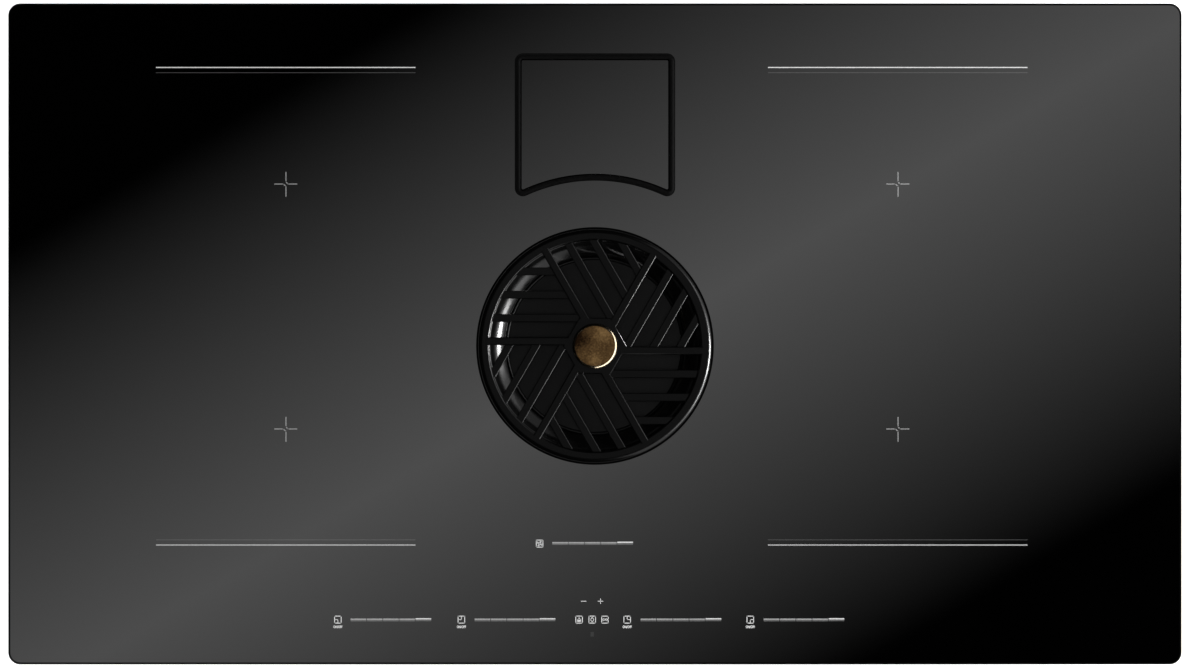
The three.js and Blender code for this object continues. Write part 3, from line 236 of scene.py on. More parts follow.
# The ground rim scatters light where the rest of the glass mirrors it.
ground = base("ground_edge", (0.0006, 0.0006, 0.0006), 0.6, specular=0.02)
scratches = pattern(ground, "Noise", 1600, Detail=3).outputs["Fac"]
tint(ground, scratches, (0.3, (0.0004, 0.0004, 0.0004)), (0.7, (0.0009, 0.0009, 0.0009)))
vary(ground, scratches, 0.52, 0.68)
relief(ground, scratches, 0.00001)
glass.data.materials.append(ground)
for face in glass.data.polygons:
    across, along = abs(face.center.x) * 1000, abs(face.center.y) * 1000
    outer = across > HOB_WIDTH / 2 - GLASS_CORNER or along > HOB_DEPTH / 2 - GLASS_CORNER
    if outer and abs(face.normal.z) < 0.999:
        face.material_index = 1


# ---- Printed marks ---------------------------------------------------------------------------------
# Ceramic ink, fired into the upper face of the glass: a cross in the middle of each cooking zone, a pair
# of lines at the rear and front of the zones, five touch sliders and the keys. It stands 0.05 mm proud,
# and its glaze shines as the glass does.

INK = 0.05
# The keys and sliders are placed in pixels of the photograph, from its upper left corner.
PIXEL = 0.7671
GLASS_MIDDLE = (594.95, 333.94)
KEY_ROW = 619.6
WORD_ROW = 627.0
STEP_ROW = 601.2
ZONE_KEYS = {337.9: (-1, 1), 461.4: (-1, -1), 627.2: (1, -1), 750.3: (1, 1)}
SCALE_KEY, TIMER_KEY, LOCK_KEY = 579.1, 592.2, 605.0
LESS_KEY, MORE_KEY = 583.7, 600.5
FAN_KEY = (539.6, 543.6)
LOCK_LIGHT = (592.2, 632.0, 636.5)
SLIDERS = ((350.3, 619.9), (474.3, 619.9), (640.3, 619.9), (763.3, 619.9), (552.0, 543.4))
SLIDER_PITCH = 16.25
SLIDER_GAP = 0.6


def spot(px, py):
    """Place on the glass, in mm, of a point given in pixels."""
    return (px - GLASS_MIDDLE[0]) * PIXEL, (GLASS_MIDDLE[1] - py) * PIXEL


def stroke(bm, start, end, width):
    """One straight stroke of ink with square ends."""
    a, b = Vector((*start, 0)), Vector((*end, 0))
    along = b - a
    turn = Matrix.Rotation(math.atan2(along.y, along.x), 4, "Z")
    size = Matrix.Diagonal((along.length + 1e-3, width, INK, 1))
    middle = (a + b) / 2 + Vector((0, 0, GLASS_TOP + INK / 2))
    bmesh.ops.create_cube(bm, size=1, matrix=Matrix.Translation(middle) @ turn @ size)


def path(bm, points, width):
    """Strokes through several points, each a little longer so that they meet at the corners."""
    for a, b in zip(points, points[1:]):
        reach = (Vector(b) - Vector(a)).normalized() * width / 2
        stroke(bm, Vector(a) - reach, Vector(b) + reach, width)


def ink(name, shade):
    """Glazed ceramic colour, from black at 0 to white at 1."""
    made = base(name, (shade,) * 3, 0.05)
    made.node_tree.nodes["Principled BSDF"].inputs["IOR"].default_value = GLASS_INDEX
    grain = pattern(made, "Noise", 900, Detail=4).outputs["Fac"]
    tint(made, grain, (0.3, (shade * 0.86,) * 3), (0.7, (shade * 1.1,) * 3))
    vary(made, grain, 0.03, 0.07)
    return made


white_ink = ink("white_ink", 0.6)
bright_ink = ink("bright_ink", 0.75)

crosses = bmesh.new()
for x in (-237.0, 232.5):
    for y in (115.0, -72.9):
        path(crosses, [(x - 8.6, y), (x - 2.2, y), (x, y - 1.7), (x, y - 9.4)], 0.75)
        path(crosses, [(x, y + 8.9), (x, y + 1.8), (x + 1.4, y), (x + 8.3, y)], 0.75)
make("zone_crosses", crosses, ink("grey_ink", 0.24), "hob", "ceramic_print")

rear_lines, front_lines, inner_lines = bmesh.new(), bmesh.new(), bmesh.new()
for left, right in ((-336.7, -137.7), (132.7, 331.8)):
    for lines, y, width in ((rear_lines, 204.4, 0.8), (inner_lines, 200.4, 0.5),
                            (front_lines, -161.9, 0.9), (inner_lines, -157.95, 0.5)):
        stroke(lines, (left, y), (right, y), width)
make("zone_lines_rear", rear_lines, white_ink, "hob", "ceramic_print")
make("zone_lines_front", front_lines, ink("light_ink", 0.36), "hob", "ceramic_print")
make("zone_lines_inner", inner_lines, ink("faint_ink", 0.05), "hob", "ceramic_print")

# Each slider is a row of five segments: a bright upper line over a dimmer one, the last segment brighter.
slider_tops, slider_feet, slider_ends = bmesh.new(), bmesh.new(), bmesh.new()
for left, row in SLIDERS:
    for i in range(5):
        last = i == 4
        a = left + SLIDER_PITCH * i + SLIDER_GAP / 2
        b = left + SLIDER_PITCH * (i + 1) - SLIDER_GAP / 2
        lift = 0.4 if last else 0
        upper, lower = row - 0.7 - lift, row + 0.75 - lift / 2
        stroke(slider_ends if last else slider_tops, spot(a, upper), spot(b, upper), 1.0)
        stroke(slider_feet, spot(a, lower), spot(b, lower), 1.0)
make("slider_tops", slider_tops, ink("slider_ink", 0.31), "hob", "ceramic_print")
make("slider_ends", slider_ends, white_ink, "hob", "ceramic_print")
make("slider_feet", slider_feet, ink("dim_ink", 0.1), "hob", "ceramic_print")

keys = bmesh.new()
LINE = 0.56
SIGN_SIZE = 0.88


def frame_key(px, py=KEY_ROW):
    """Rounded rectangle round a key's sign, its half sizes in pixels."""
    w, h, cut = 3.3, 3.5, 0.35
    corners = [(-w + cut, -h), (w - cut, -h), (w, -h + cut), (w, h - cut),
               (w - cut, h), (-w + cut, h), (-w, h - cut), (-w, -h + cut)]
    path(keys, [spot(px + x, py + y) for x, y in corners + corners[:1]], LINE)


def sign(px, points, width=LINE * 0.8, py=KEY_ROW):
    """Part of a key's sign, its points counted from the key's middle to the right and down."""
    path(keys, [spot(px + SIGN_SIZE * x, py + SIGN_SIZE * y) for x, y in points], width)


# Zone keys: a square with the zone's quarter marked. The sign's corner points to the zone it switches.
for px, (x, y) in ZONE_KEYS.items():
    frame_key(px)
    sign(px, [(0, y * 3.4), (0, 0), (x * 3.4, 0)])
# Scale key with a weight, timer key with an hourglass, and lock key.
for px in (SCALE_KEY, TIMER_KEY, LOCK_KEY):
    frame_key(px)
sign(SCALE_KEY, [(-2.2, 2.2), (2.2, 2.2), (1.2, -0.9), (-1.2, -0.9), (-2.2, 2.2)])
sign(SCALE_KEY, [(-0.9, 1.2), (0.9, 1.2)], 1.1)
sign(SCALE_KEY, [(-0.7, -1.2), (-0.7, -2.3), (0.7, -2.3), (0.7, -1.2)], 0.5)
for x in (-2.0, 2.0):
    sign(TIMER_KEY, [(0, -2.7), (x, 0), (0, 2.7)])
sign(LOCK_KEY, [(-2.5, -1.0), (-0.4, -1.0), (-0.4, 1.0), (-2.5, 1.0), (-2.5, -1.0)])
sign(LOCK_KEY, [(0.4, 0), (3.2, 0)], 1.2)
sign(LOCK_KEY, [(1.5, -1.0), (1.5, 1.0)], 0.7)
# Less, more, and the extractor's key with a fan wheel.
for px in (LESS_KEY, MORE_KEY):
    sign(px, [(-2.8, 0), (2.8, 0)], py=STEP_ROW)
sign(MORE_KEY, [(0, -2.8), (0, 2.8)], py=STEP_ROW)
frame_key(*FAN_KEY)
for i in range(4):
    c, s = round(cos(i * pi / 2)), round(sin(i * pi / 2))
    blade = [(0.3, 0.3), (2.5, 0.4), (2.3, 2.1), (0.3, 0.3)]
    sign(FAN_KEY[0], [(c * x - s * y, s * x + c * y) for x, y in blade], 0.5, FAN_KEY[1])
make("key_signs", keys, bright_ink, "hob", "ceramic_print")

WORD_SIZE = 2.7
WORD_WEIGHT = 0.09
words = bmesh.new()
narrow = Matrix.Diagonal((0.71, 1, 1, 1))
for px in ZONE_KEYS:
    text = bpy.data.curves.new("switch_word", "FONT")
    text.body = "ON/OFF"
    text.size = WORD_SIZE
    text.align_x = text.align_y = "CENTER"
    text.extrude = INK / 2
    text.offset = WORD_WEIGHT
    text.resolution_u = 3
    drawn = bpy.data.objects.new("switch_word", text)
    bpy.context.scene.collection.objects.link(drawn)
    letters = bpy.data.meshes.new_from_object(drawn.evaluated_get(bpy.context.evaluated_depsgraph_get()))
    letters.transform(Matrix.Translation((*spot(px, WORD_ROW), GLASS_TOP + INK / 2)) @ narrow)
    words.from_mesh(letters)
    bpy.data.meshes.remove(letters)
    bpy.data.curves.remove(text)
make("switch_words", words, bright_ink, "hob", "ceramic_print")

lamp_spot = bmesh.new()
lamp_x, lamp_rear, lamp_front = LOCK_LIGHT
stroke(lamp_spot, spot(lamp_x, lamp_rear), spot(lamp_x, lamp_front), 2.6)
make("lock_light", lamp_spot, ink("unlit_lamp", 0.018), "hob", "ceramic_print")


# ---- Inlet collar ----------------------------------------------------------------------------------
# Deep-drawn steel ring in gloss black enamel. A low flange lies on the glass and carries the grille, then
# a short drop and a bell mouth draw in to the straight throat, whose ledge holds the filter.


def turned(bm, profile, steps=128):
    """A closed section of [radius, level] points turned full circle about the inlet's middle."""
    points = [bm.verts.new((r, INLET_Y, z)) for r, z in profile]
    lines = [bm.edges.new(pair) for pair in zip(points, points[1:] + points[:1])]
    bmesh.ops.spin(bm, geom=points + lines, cent=(0, INLET_Y, 0), axis=(0, 0, 1), angle=2 * pi,
                   steps=steps, use_merge=True)


def round_section(x, z, radius, start, end, steps, flat=1):
    """Points of a round in a section, the angles in degrees from the outward direction."""
    turns = (radians(start + (end - start) * i / steps) for i in range(steps + 1))
    return [(x + radius * cos(turn), z + flat * radius * sin(turn)) for turn in turns]


def recoated(piece, finish, radius, level):
    """A second finish on the piece's faces outside a radius about the inlet and above a level, in mm."""
    piece.data.materials.append(finish)
    for face in piece.data.polygons:
        middle = face.center * 1000
        if middle.z > level and math.hypot(middle.x, middle.y - INLET_Y) > radius:
            face.material_index = 1


enamel = base("gloss_enamel", (0.0016, 0.0016, 0.0016), 0.14, specular=0.5)
peel = pattern(enamel, "Noise", 260, Detail=2).outputs["Fac"]
tint(enamel, peel, (0.3, (0.0012, 0.0012, 0.0012)), (0.7, (0.002, 0.002, 0.002)))
vary(enamel, peel, 0.14, 0.2)
relief(enamel, peel, 0.00001)

collar = bmesh.new()
turned(collar, [
    (91.15, 216.6), (91.15, 217.2), (90.9, 217.5), (81.7, 217.5), (81.2, 217.3), (81.0, 216.8), (81.0, 211.3),
    *round_section(82.7, 191.14, 20, 96.9, 131.2, 14),
    *round_section(70.5, 205.04, 1.5, 135, 180, 6),
    (69.0, 142.0), (62.0, 142.0), (62.0, 140.0), (71.0, 140.0),
    *round_section(82.7, 191.14, 18, 130.5, 96.9, 8), (82.5, 210.0), (82.9, 211.5), (82.9, 216.6),
])
inlet_ring = make("inlet_ring", collar, enamel, "hob", "black_enamel", "inlet_collar", sharp=40)

seal = base("black_silicone", (0.0003, 0.0003, 0.0003), 0.7, specular=0.01)
skin = pattern(seal, "Noise", 1500, Detail=3).outputs["Fac"]
tint(seal, skin, (0.3, (0.0002, 0.0002, 0.0002)), (0.7, (0.0005, 0.0005, 0.0005)))
relief(seal, skin, 0.00002)

# The flange wears a sleeve of the same silicone, on which the casting stands.
recoated(inlet_ring, seal, 84, GLASS_TOP)


def dress(finish, slot, *nodes):
    """CAD nodes whose shape is right keep it, and take a finish."""
    for name in nodes:
        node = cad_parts[name]
        node.data.materials.clear()
        node.data.materials.append(finish)


dress(seal, "silicone", "collar_seal", "grille_cushion")


# ---- Grille ----------------------------------------------------------------------------------------
# One iron casting in satin black enamel: an outer ring with a rounded edge, a six-sided hub, six ribs set
# beside the hub's corners like a pinwheel, and three slats in each sixth, 2 mm lower than the ribs.

RIB_TOP = 222
RIB_FOOT = 217
RIB_WIDTH = 6.1
RIB_OFFSET = 3.6
RIB_ROUND = 0.75
SLAT_TOP = RIB_TOP - 2
SLAT_PITCH = 17.85
SLAT_ROUND = 0.5
SECTOR = pi / 3
BAR_REACH = 83
HUB_FLAT = 21.2
HUB_ROUND = 0.6

iron = base("satin_enamel", (0.0008, 0.0008, 0.0008), 0.18)
cast = pattern(iron, "Noise", 900, Detail=5, Roughness=0.6).outputs["Fac"]
tint(iron, cast, (0.3, (0.0006, 0.0006, 0.0006)), (0.7, (0.001, 0.001, 0.001)))
vary(iron, cast, 0.15, 0.21)
relief(iron, cast, 0.00001)


def cast_bar(bm, start, end, offset, top, rounding):
    """Bar along +X beside the middle, its upper edges rounded."""
    middle = ((start + end) / 2, INLET_Y - offset, (top + RIB_FOOT) / 2)
    size = Matrix.Diagonal((end - start, RIB_WIDTH, top - RIB_FOOT, 1))
    corners = bmesh.ops.create_cube(bm, size=1, matrix=Matrix.Translation(middle) @ size)["verts"]
    edges = {edge for corner in corners for edge in corner.link_edges}
    upper = [edge for edge in edges if all(abs(v.co.z - top) < SAME_POINT for v in edge.verts)
             and abs(edge.verts[0].co.y - edge.verts[1].co.y) < SAME_POINT]
    bmesh.ops.bevel(bm, geom=upper, offset=rounding, segments=3, profile=0.5, affect="EDGES", material=-1)


# One sixth of the pinwheel, turned round six times. Each slat starts inside the next sixth's rib.
sixth = bmesh.new()
cast_bar(sixth, 0, BAR_REACH, RIB_OFFSET, RIB_TOP, RIB_ROUND)
for i in range(1, 4):
    offset = RIB_OFFSET + i * SLAT_PITCH
    start = offset / math.tan(SECTOR) - RIB_OFFSET / sin(SECTOR)
    cast_bar(sixth, start, sqrt(BAR_REACH ** 2 - offset ** 2), offset, SLAT_TOP, SLAT_ROUND)
bmesh.ops.spin(sixth, geom=sixth.verts[:] + sixth.edges[:] + sixth.faces[:], cent=(0, INLET_Y, 0),
               axis=(0, 0, 1), angle=5 * SECTOR, steps=5, use_duplicate=True)

hub = bmesh.new()
turn = Matrix.Translation((0, INLET_Y, RIB_FOOT)) @ Matrix.Rotation(pi / 2, 4, "Z")
bmesh.ops.create_circle(hub, cap_ends=True, segments=6, radius=HUB_FLAT / cos(SECTOR / 2), matrix=turn)
grown = bmesh.ops.extrude_face_region(hub, geom=hub.faces[:])["geom"]
raised = [part for part in grown if isinstance(part, bmesh.types.BMVert)]
bmesh.ops.translate(hub, vec=(0, 0, RIB_TOP - RIB_FOOT), verts=raised)
upper = [edge for edge in hub.edges if all(v in raised for v in edge.verts)]
bmesh.ops.bevel(hub, geom=upper, offset=HUB_ROUND, segments=3, profile=0.5, affect="EDGES", material=-1)

band = bmesh.new()
turned(band, [
    (81.3, 218.4), (89.5, 218.4), *round_section(85.9, 218.95, 4, 0, 90, 16, flat=0.6),
    *round_section(82.5, 219.85, 1.5, 90, 180, 8), (81.0, 218.7),
])


def fused(*meshes):
    """The parts as one skin, with nothing left inside."""
    for bm in meshes:
        bmesh.ops.remove_doubles(bm, verts=bm.verts, dist=SAME_POINT)
        bmesh.ops.recalc_face_normals(bm, faces=bm.faces)
    whole, *parts = [as_object("part", bm) for bm in meshes]
    for part in parts:
        union = whole.modifiers.new("union", "BOOLEAN")
        union.operation = "UNION"
        union.solver = "EXACT"
        union.use_self = True
        union.object = part
    skin = bpy.data.meshes.new_from_object(whole.evaluated_get(bpy.context.evaluated_depsgraph_get()))
    bm = bmesh.new()
    bm.from_mesh(skin)
    for part in (whole, *parts):
        bpy.data.meshes.remove(part.data)
    return bm


casting = fused(sixth, hub, band)
make("grille_casting", casting, iron, "grille_assembly", "cast_black", "grille", sharp=30)


# ---- Lifting knob ----------------------------------------------------------------------------------
# Turned from brass and left to darken: its top keeps the lathe's rings, its rounded rim is rubbed bright by
# hands, and a waist below gives the fingers a hold. Painted into the top's colour are two reflections, to the
# upper right and below, and shade on its left. A zinc-plated screw holds it from under the hub.


def painted_light_spot(made, bearing, distance, reach):
    """Soft round spot on the knob for a painted reflection, or for painted shade where it is taken away, in
    mm and degrees: 1 in its middle, 0 at its reach.
    """
    x, y = distance * cos(radians(bearing)), INLET_Y + distance * sin(radians(bearing))
    fade = pattern(made, "Gradient", None, stretch=(1000 / reach, 1000 / reach, 0),
                   shift=(-x / reach, -y / reach, 0))
    fade.gradient_type = "SPHERICAL"
    return fade.outputs["Fac"]


def maths(tree, operation, *terms):
    """Sum, product or the like of sockets and plain numbers."""
    node = tree.nodes.new("ShaderNodeMath")
    node.operation = operation
    for place, term in zip(node.inputs, terms):
        if isinstance(term, bpy.types.NodeSocket):
            tree.links.new(term, place)
        else:
            place.default_value = term
    return node.outputs[0]


brass = base("aged_brass_painted_light", (0.2, 0.13, 0.05), 0.36, metallic=1.0)
stain = pattern(brass, "Noise", 130, Detail=6, Roughness=0.7).outputs["Fac"]
speck = pattern(brass, "Noise", 620, Detail=2, Roughness=0.6).outputs["Fac"]
patina_and_painted_light = 0
# The stain and specks are the brass's own patina. The three spots are painted light: reflections to the upper
# right and below, and shade on the left.
for source, share in ((stain, 0.35), (speck, 0.6), (painted_light_spot(brass, 55, 13, 10), 0.3),
                      (painted_light_spot(brass, 268, 10.5, 7), 0.28), (painted_light_spot(brass, 158, 17, 15), -0.5)):
    patina_and_painted_light = maths(brass.node_tree, "MULTIPLY_ADD", source, share, patina_and_painted_light)
tint(brass, patina_and_painted_light, (0.15, (0.016, 0.008, 0.004)), (0.5, (0.12, 0.068, 0.027)), (0.9, (0.36, 0.22, 0.09)))
vary(brass, stain, 0.28, 0.4)
rings = pattern(brass, "Wave", 260, shift=(0, -INLET_Y / 1000, 0), Distortion=1.5, Detail=2)
rings.wave_type = "RINGS"
rings.rings_direction = "Z"
relief(brass, rings.outputs["Fac"], 0.00003, 0.6)
relief(brass, pattern(brass, "Noise", 1400, Detail=3).outputs["Fac"], 0.00002, 0.5)

knob = bmesh.new()
turned(knob, [
    (2.5, 222.05), (12.4, 222.05), (12.0, 222.6), (12.0, 224.0), (12.5, 224.5), (15.9, 225.2), (16.4, 228.8),
    (16.8, 229.4), *round_section(14.3, 227.0, 4, 46, 90, 16), (10, 230.95), (4, 230.9), (0, 230.9),
    (0, 229.0), (2.5, 228.5),
], steps=160)
turning = make("knob_turning", knob, brass, "grille_assembly", "brass_turned", "grille_knob")

rubbed = base("rubbed_brass", (0.55, 0.46, 0.32), 0.18, metallic=1.0)
wear = pattern(rubbed, "Noise", 420, Detail=4).outputs["Fac"]
tint(rubbed, wear, (0.3, (0.45, 0.37, 0.25)), (0.7, (0.62, 0.52, 0.37)))
vary(rubbed, wear, 0.14, 0.22)
recoated(turning, rubbed, 15.5, 229.5)

zinc = base("zinc_plate", (0.4, 0.41, 0.42), 0.35, metallic=1.0)
film = pattern(zinc, "Noise", 320, Detail=5).outputs["Fac"]
tint(zinc, film, (0.3, (0.3, 0.31, 0.32)), (0.7, (0.5, 0.51, 0.51)))
vary(zinc, film, 0.25, 0.45)
dress(zinc, "steel", "knob_screw", "blower_motor", "motor_shaft", "fixing_spring_front_left",
      "fixing_spring_rear_left", "fixing_spring_front_right", "fixing_spring_rear_right")


# ---- Filter ----------------------------------------------------------------------------------------
# Lift-out drum of black powder-coated steel with a rolled rim and a turned-in foot. A disc of fine black
# mesh is crimped on a bead below the rim, and a finger pull stands in its middle, under the hub.

drum = bmesh.new()
turned(drum, [
    (59.3, 142.3), (67.8, 142.3), (68.2, 142.7), *round_section(67.45, 202.25, 0.75, 0, 180, 12),
    (66.7, 199.2), (64.2, 199.2), (64.2, 198.2), (66.7, 195.7), (66.7, 143.8), (59.3, 143.8),
])
powder = base("powder_coat", (0.0014, 0.0014, 0.0014), 0.42, specular=0.2)
orange_peel = pattern(powder, "Noise", 800, Detail=3).outputs["Fac"]
tint(powder, orange_peel, (0.3, (0.001, 0.001, 0.001)), (0.7, (0.0018, 0.0018, 0.0018)))
vary(powder, orange_peel, 0.38, 0.46)
relief(powder, orange_peel, 0.00002)
make("filter_drum", drum, powder, "filter", "filter_black", "filter_frame", sharp=40)

weave = base("black_mesh", (0.002, 0.002, 0.002), 0.2)
for axis in "XY":
    wires = pattern(weave, "Wave", 280)
    wires.bands_direction = axis
    relief(weave, wires.outputs["Fac"], 0.00002, 0.5)
dust = pattern(weave, "Noise", 60, Detail=4).outputs["Fac"]
tint(weave, dust, (0.3, (0.0016, 0.0016, 0.0016)), (0.7, (0.0024, 0.0024, 0.0024)))
disc = bmesh.new()
turned(disc, [(0, 199.5), (66.4, 199.5), (66.4, 201.2), (66.0, 201.5), (15.2, 201.5), (0, 201.5)])
make("filter_weave", disc, weave, "filter", "filter_black", "filter_mesh")


# ---- Kitchen scale ---------------------------------------------------------------------------------
# A second pane of the same glass on a cast tray, free to sink by half a millimetre inside a soft rubber
# profile. Below it a load cell bridges between the tray and a pressed steel tub.

plate = bmesh.new()
sides = layers(plate, scale_outline, [(-0.4, GLASS_UNDER), (-0.15, 212.3), (-0.15, 215.6), (-0.5, GLASS_TOP)])
filled(plate, sides[0])
filled(plate, sides[-1])
make("weighing_pane", plate, black_glass, "scale", "black_glass", "scale_plate")

rubber = base("soft_rubber", (0.0015, 0.0015, 0.0015), 0.5, specular=0.1)
bloom = pattern(rubber, "Noise", 700, Detail=4).outputs["Fac"]
tint(rubber, bloom, (0.3, (0.001, 0.001, 0.001)), (0.7, (0.0022, 0.0022, 0.0022)))
vary(rubber, bloom, 0.42, 0.58)
relief(rubber, bloom, 0.00002)
profile = bmesh.new()
section = [(0.25, 212.2), (0.25, 215.9), (0.5, 216.4), (1.2, 216.7), (2.2, 216.8), (3.2, 216.7), (3.9, 216.4),
           (4.4, 215.9), (4.4, 211.6), (9.2, 211.6), (9.2, 209.8), (4.6, 209.5), (0.25, 209.8)]
loops = layers(profile, scale_outline, section)
bmesh.ops.bridge_loops(profile, edges=loops[-1] + loops[0])
make("scale_profile", profile, rubber, "hob", "rubber_black", "scale_gasket")

mill = base("mill_aluminium", (0.6, 0.61, 0.62), 0.38, metallic=1.0)
drawn = pattern(mill, "Noise", 90, stretch=(1, 18, 6), Detail=5).outputs["Fac"]
tint(mill, drawn, (0.3, (0.5, 0.51, 0.52)), (0.7, (0.68, 0.69, 0.7)))
vary(mill, drawn, 0.3, 0.48)
relief(mill, drawn, 0.00001)
dress(mill, "aluminium", "scale_platform", "load_cell", "coil_bridge_left", "coil_bridge_right",
      "heatsink_left", "heatsink_right")


# ---- Base pan --------------------------------------------------------------------------------------
# Folded from galvanised sheet 1.2 mm thick, with its zinc in frost-like spangles. Its outward rim is
# glued under the pane, a foam tape seals the pane to the worktop, and leaf springs hold it in the cut-out.

galvanised = base("galvanised_sheet", (0.45, 0.47, 0.48), 0.42, metallic=1.0)
spangle = pattern(galvanised, "Voronoi", 95)
grey = galvanised.node_tree.nodes.new("ShaderNodeRGBToBW")
galvanised.node_tree.links.new(spangle.outputs["Color"], grey.inputs["Color"])
tint(galvanised, grey.outputs["Val"], (0.2, (0.36, 0.38, 0.39)), (0.8, (0.55, 0.57, 0.58)))
vary(galvanised, grey.outputs["Val"], 0.3, 0.52)
relief(galvanised, pattern(galvanised, "Noise", 500, Detail=3).outputs["Fac"], 0.00001)
dress(galvanised, "galvanised", "base_pan", "scale_tub")

foam = base("foam_tape", (0.03, 0.03, 0.032), 0.95, specular=0.1)
pores = pattern(foam, "Voronoi", 1800).outputs["Distance"]
tint(foam, pores, (0.0, (0.015, 0.015, 0.016)), (0.6, (0.045, 0.045, 0.048)))
relief(foam, pores, 0.0002, 0.7)
dress(foam, "foam", "glass_rim_seal", "collector_seal")


# ---- Coils -----------------------------------------------------------------------------------------
# Each coil is a flat winding of enamelled litz wire glued on a moulded former with ferrite bars. The four
# stand in pairs on two aluminium bridges, under a mat of pressed mineral fibre.

moulded = base("coil_plastic", (0.03, 0.035, 0.04), 0.55)
grain = pattern(moulded, "Noise", 1200, Detail=3).outputs["Fac"]
tint(moulded, grain, (0.3, (0.024, 0.028, 0.032)), (0.7, (0.038, 0.044, 0.05)))
relief(moulded, grain, 0.00003)
for row, y in (("rear", 0.115), ("front", -0.0729)):
    for side, x in (("left", -0.2372), ("right", 0.2323)):
        dress(moulded, "coil_plastic", f"coil_former_{row}_{side}")
        copper = base(f"litz_{row}_{side}", (0.42, 0.17, 0.07), 0.4, metallic=0.9)
        turns = pattern(copper, "Wave", 150, shift=(-x, -y, 0), Distortion=0.4, Detail=2)
        turns.wave_type = "RINGS"
        turns.rings_direction = "Z"
        tint(copper, turns.outputs["Fac"], (0.1, (0.1, 0.035, 0.015)), (0.6, (0.5, 0.2, 0.08)))
        relief(copper, turns.outputs["Fac"], 0.0008)
        dress(copper, "copper", f"coil_winding_{row}_{side}")

fibre = base("mineral_fibre", (0.7, 0.68, 0.62), 0.95, specular=0.1)
felt = pattern(fibre, "Noise", 700, stretch=(1, 3, 1), Detail=6, Roughness=0.7).outputs["Fac"]
tint(fibre, felt, (0.3, (0.55, 0.53, 0.48)), (0.7, (0.8, 0.78, 0.72)))
relief(fibre, felt, 0.0003, 0.6)
dress(fibre, "mineral_mat", "insulation_mat_left", "insulation_mat_right")


# ---- Electronics -----------------------------------------------------------------------------------
# Glass-fibre boards with a green solder mask, whose tracks show through as lighter lines: two power
# boards, the mains filter, and the touch board under the front edge of the pane in its black carrier.

board = base("solder_mask", (0.02, 0.12, 0.05), 0.35)
tracks = pattern(board, "Brick", 90, stretch=(1, 1.7, 1))
tracks.inputs["Mortar Size"].default_value = 0.03
tint(board, tracks.outputs["Fac"], (0.0, (0.012, 0.085, 0.035)), (1.0, (0.04, 0.2, 0.09)))
relief(board, tracks.outputs["Fac"], 0.00005)
dress(board, "circuit_board", "power_board_left", "power_board_right", "mains_filter_board", "touch_board")


def textured_plastic(name, dark, light, rough):
    """Moulding with the fine spark-eroded grain of its tool."""
    made = base(name, light, rough, specular=0.4)
    spark = pattern(made, "Noise", 2200, Detail=4, Roughness=0.6).outputs["Fac"]
    haze = pattern(made, "Noise", 14, Detail=4).outputs["Fac"]
    tint(made, haze, (0.3, dark), (0.7, light))
    vary(made, haze, rough - 0.06, rough + 0.06)
    relief(made, spark, 0.00006)
    return made


black_plastic = textured_plastic("black_moulding", (0.011, 0.0115, 0.0125), (0.016, 0.017, 0.018), 0.5)
grey_plastic = textured_plastic("grey_moulding", (0.075, 0.08, 0.085), (0.1, 0.108, 0.113), 0.5)
dress(black_plastic, "black_plastic", "touch_carrier", "cooling_fan_housing_left",
      "cooling_fan_housing_right", "filter_handle")
dress(grey_plastic, "grey_plastic", "cooling_rotor_left", "cooling_rotor_right", "impeller")


# ---- Air module ------------------------------------------------------------------------------------
# Moulded boxes screwed under the pan: the collector with its drip tray, the suction channel, the blower's
# scroll with its cover, and the outlet where the flat duct pushes on. Their edges are rounded by the tool.


def softened(node, offset=0.6):
    """A copy of a CAD solid, in mm, with its sharp edges rounded."""
    bm = bmesh.new()
    bm.from_mesh(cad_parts[node].data)
    bmesh.ops.scale(bm, vec=(1000, 1000, 1000), verts=bm.verts)
    bmesh.ops.remove_doubles(bm, verts=bm.verts, dist=1e-3)
    bmesh.ops.dissolve_limit(bm, angle_limit=radians(0.5), verts=bm.verts, edges=bm.edges)
    edges = [edge for edge in bm.edges if edge.is_manifold and edge.calc_face_angle() > radians(35)]
    bmesh.ops.bevel(bm, geom=edges, offset=offset, segments=2, profile=0.5, affect="EDGES",
                    clamp_overlap=True, material=-1)
    return bm


for node in ("collector_tub", "suction_channel", "scroll_cover", "blower_scroll", "outlet_spigot"):
    make(node + "_moulding", softened(node), black_plastic, "hob", "black_plastic", node)
make("drip_tray_moulding", softened("drip_tray"), grey_plastic, "tray", "grey_plastic", "drip_tray")


# ---- Wiring boxes ----------------------------------------------------------------------------------
# The blower's control box and the terminal box with its screwed cover hang under the pan. The gland that
# grips the supply cable is polyamide.

make("control_box_moulding", softened("blower_control_box"), grey_plastic, "hob", "grey_plastic",
     "blower_control_box")
make("terminal_box_moulding", softened("terminal_box"), black_plastic, "hob", "black_plastic", "terminal_box")
make("terminal_cover_moulding", softened("terminal_cover"), black_plastic, "hob", "black_plastic",
     "terminal_cover")
make("gland_moulding", softened("cable_gland", 0.3), grey_plastic, "hob", "grey_plastic", "cable_gland")


# ---- Screws ----------------------------------------------------------------------------------------
# Zinc-plated hexagon screws with a pressed flange. They hold the terminal cover, the control box's foot
# and the outlet's flange, and they close the scroll.


def screw(bm, place, towards):
    """Head that stands at a place and looks along an axis, 2.4 mm high."""
    turn = Vector(towards).to_track_quat("Z", "Y").to_matrix().to_4x4()
    for sides, radius, low, high in ((24, 3.8, 0, 0.7), (6, 2.9, 0.5, 2.4)):
        seat = Matrix.Translation(place) @ turn @ Matrix.Translation((0, 0, (low + high) / 2))
        bmesh.ops.create_cone(bm, cap_ends=True, segments=sides, radius1=radius, radius2=radius,
                              depth=high - low, matrix=seat)


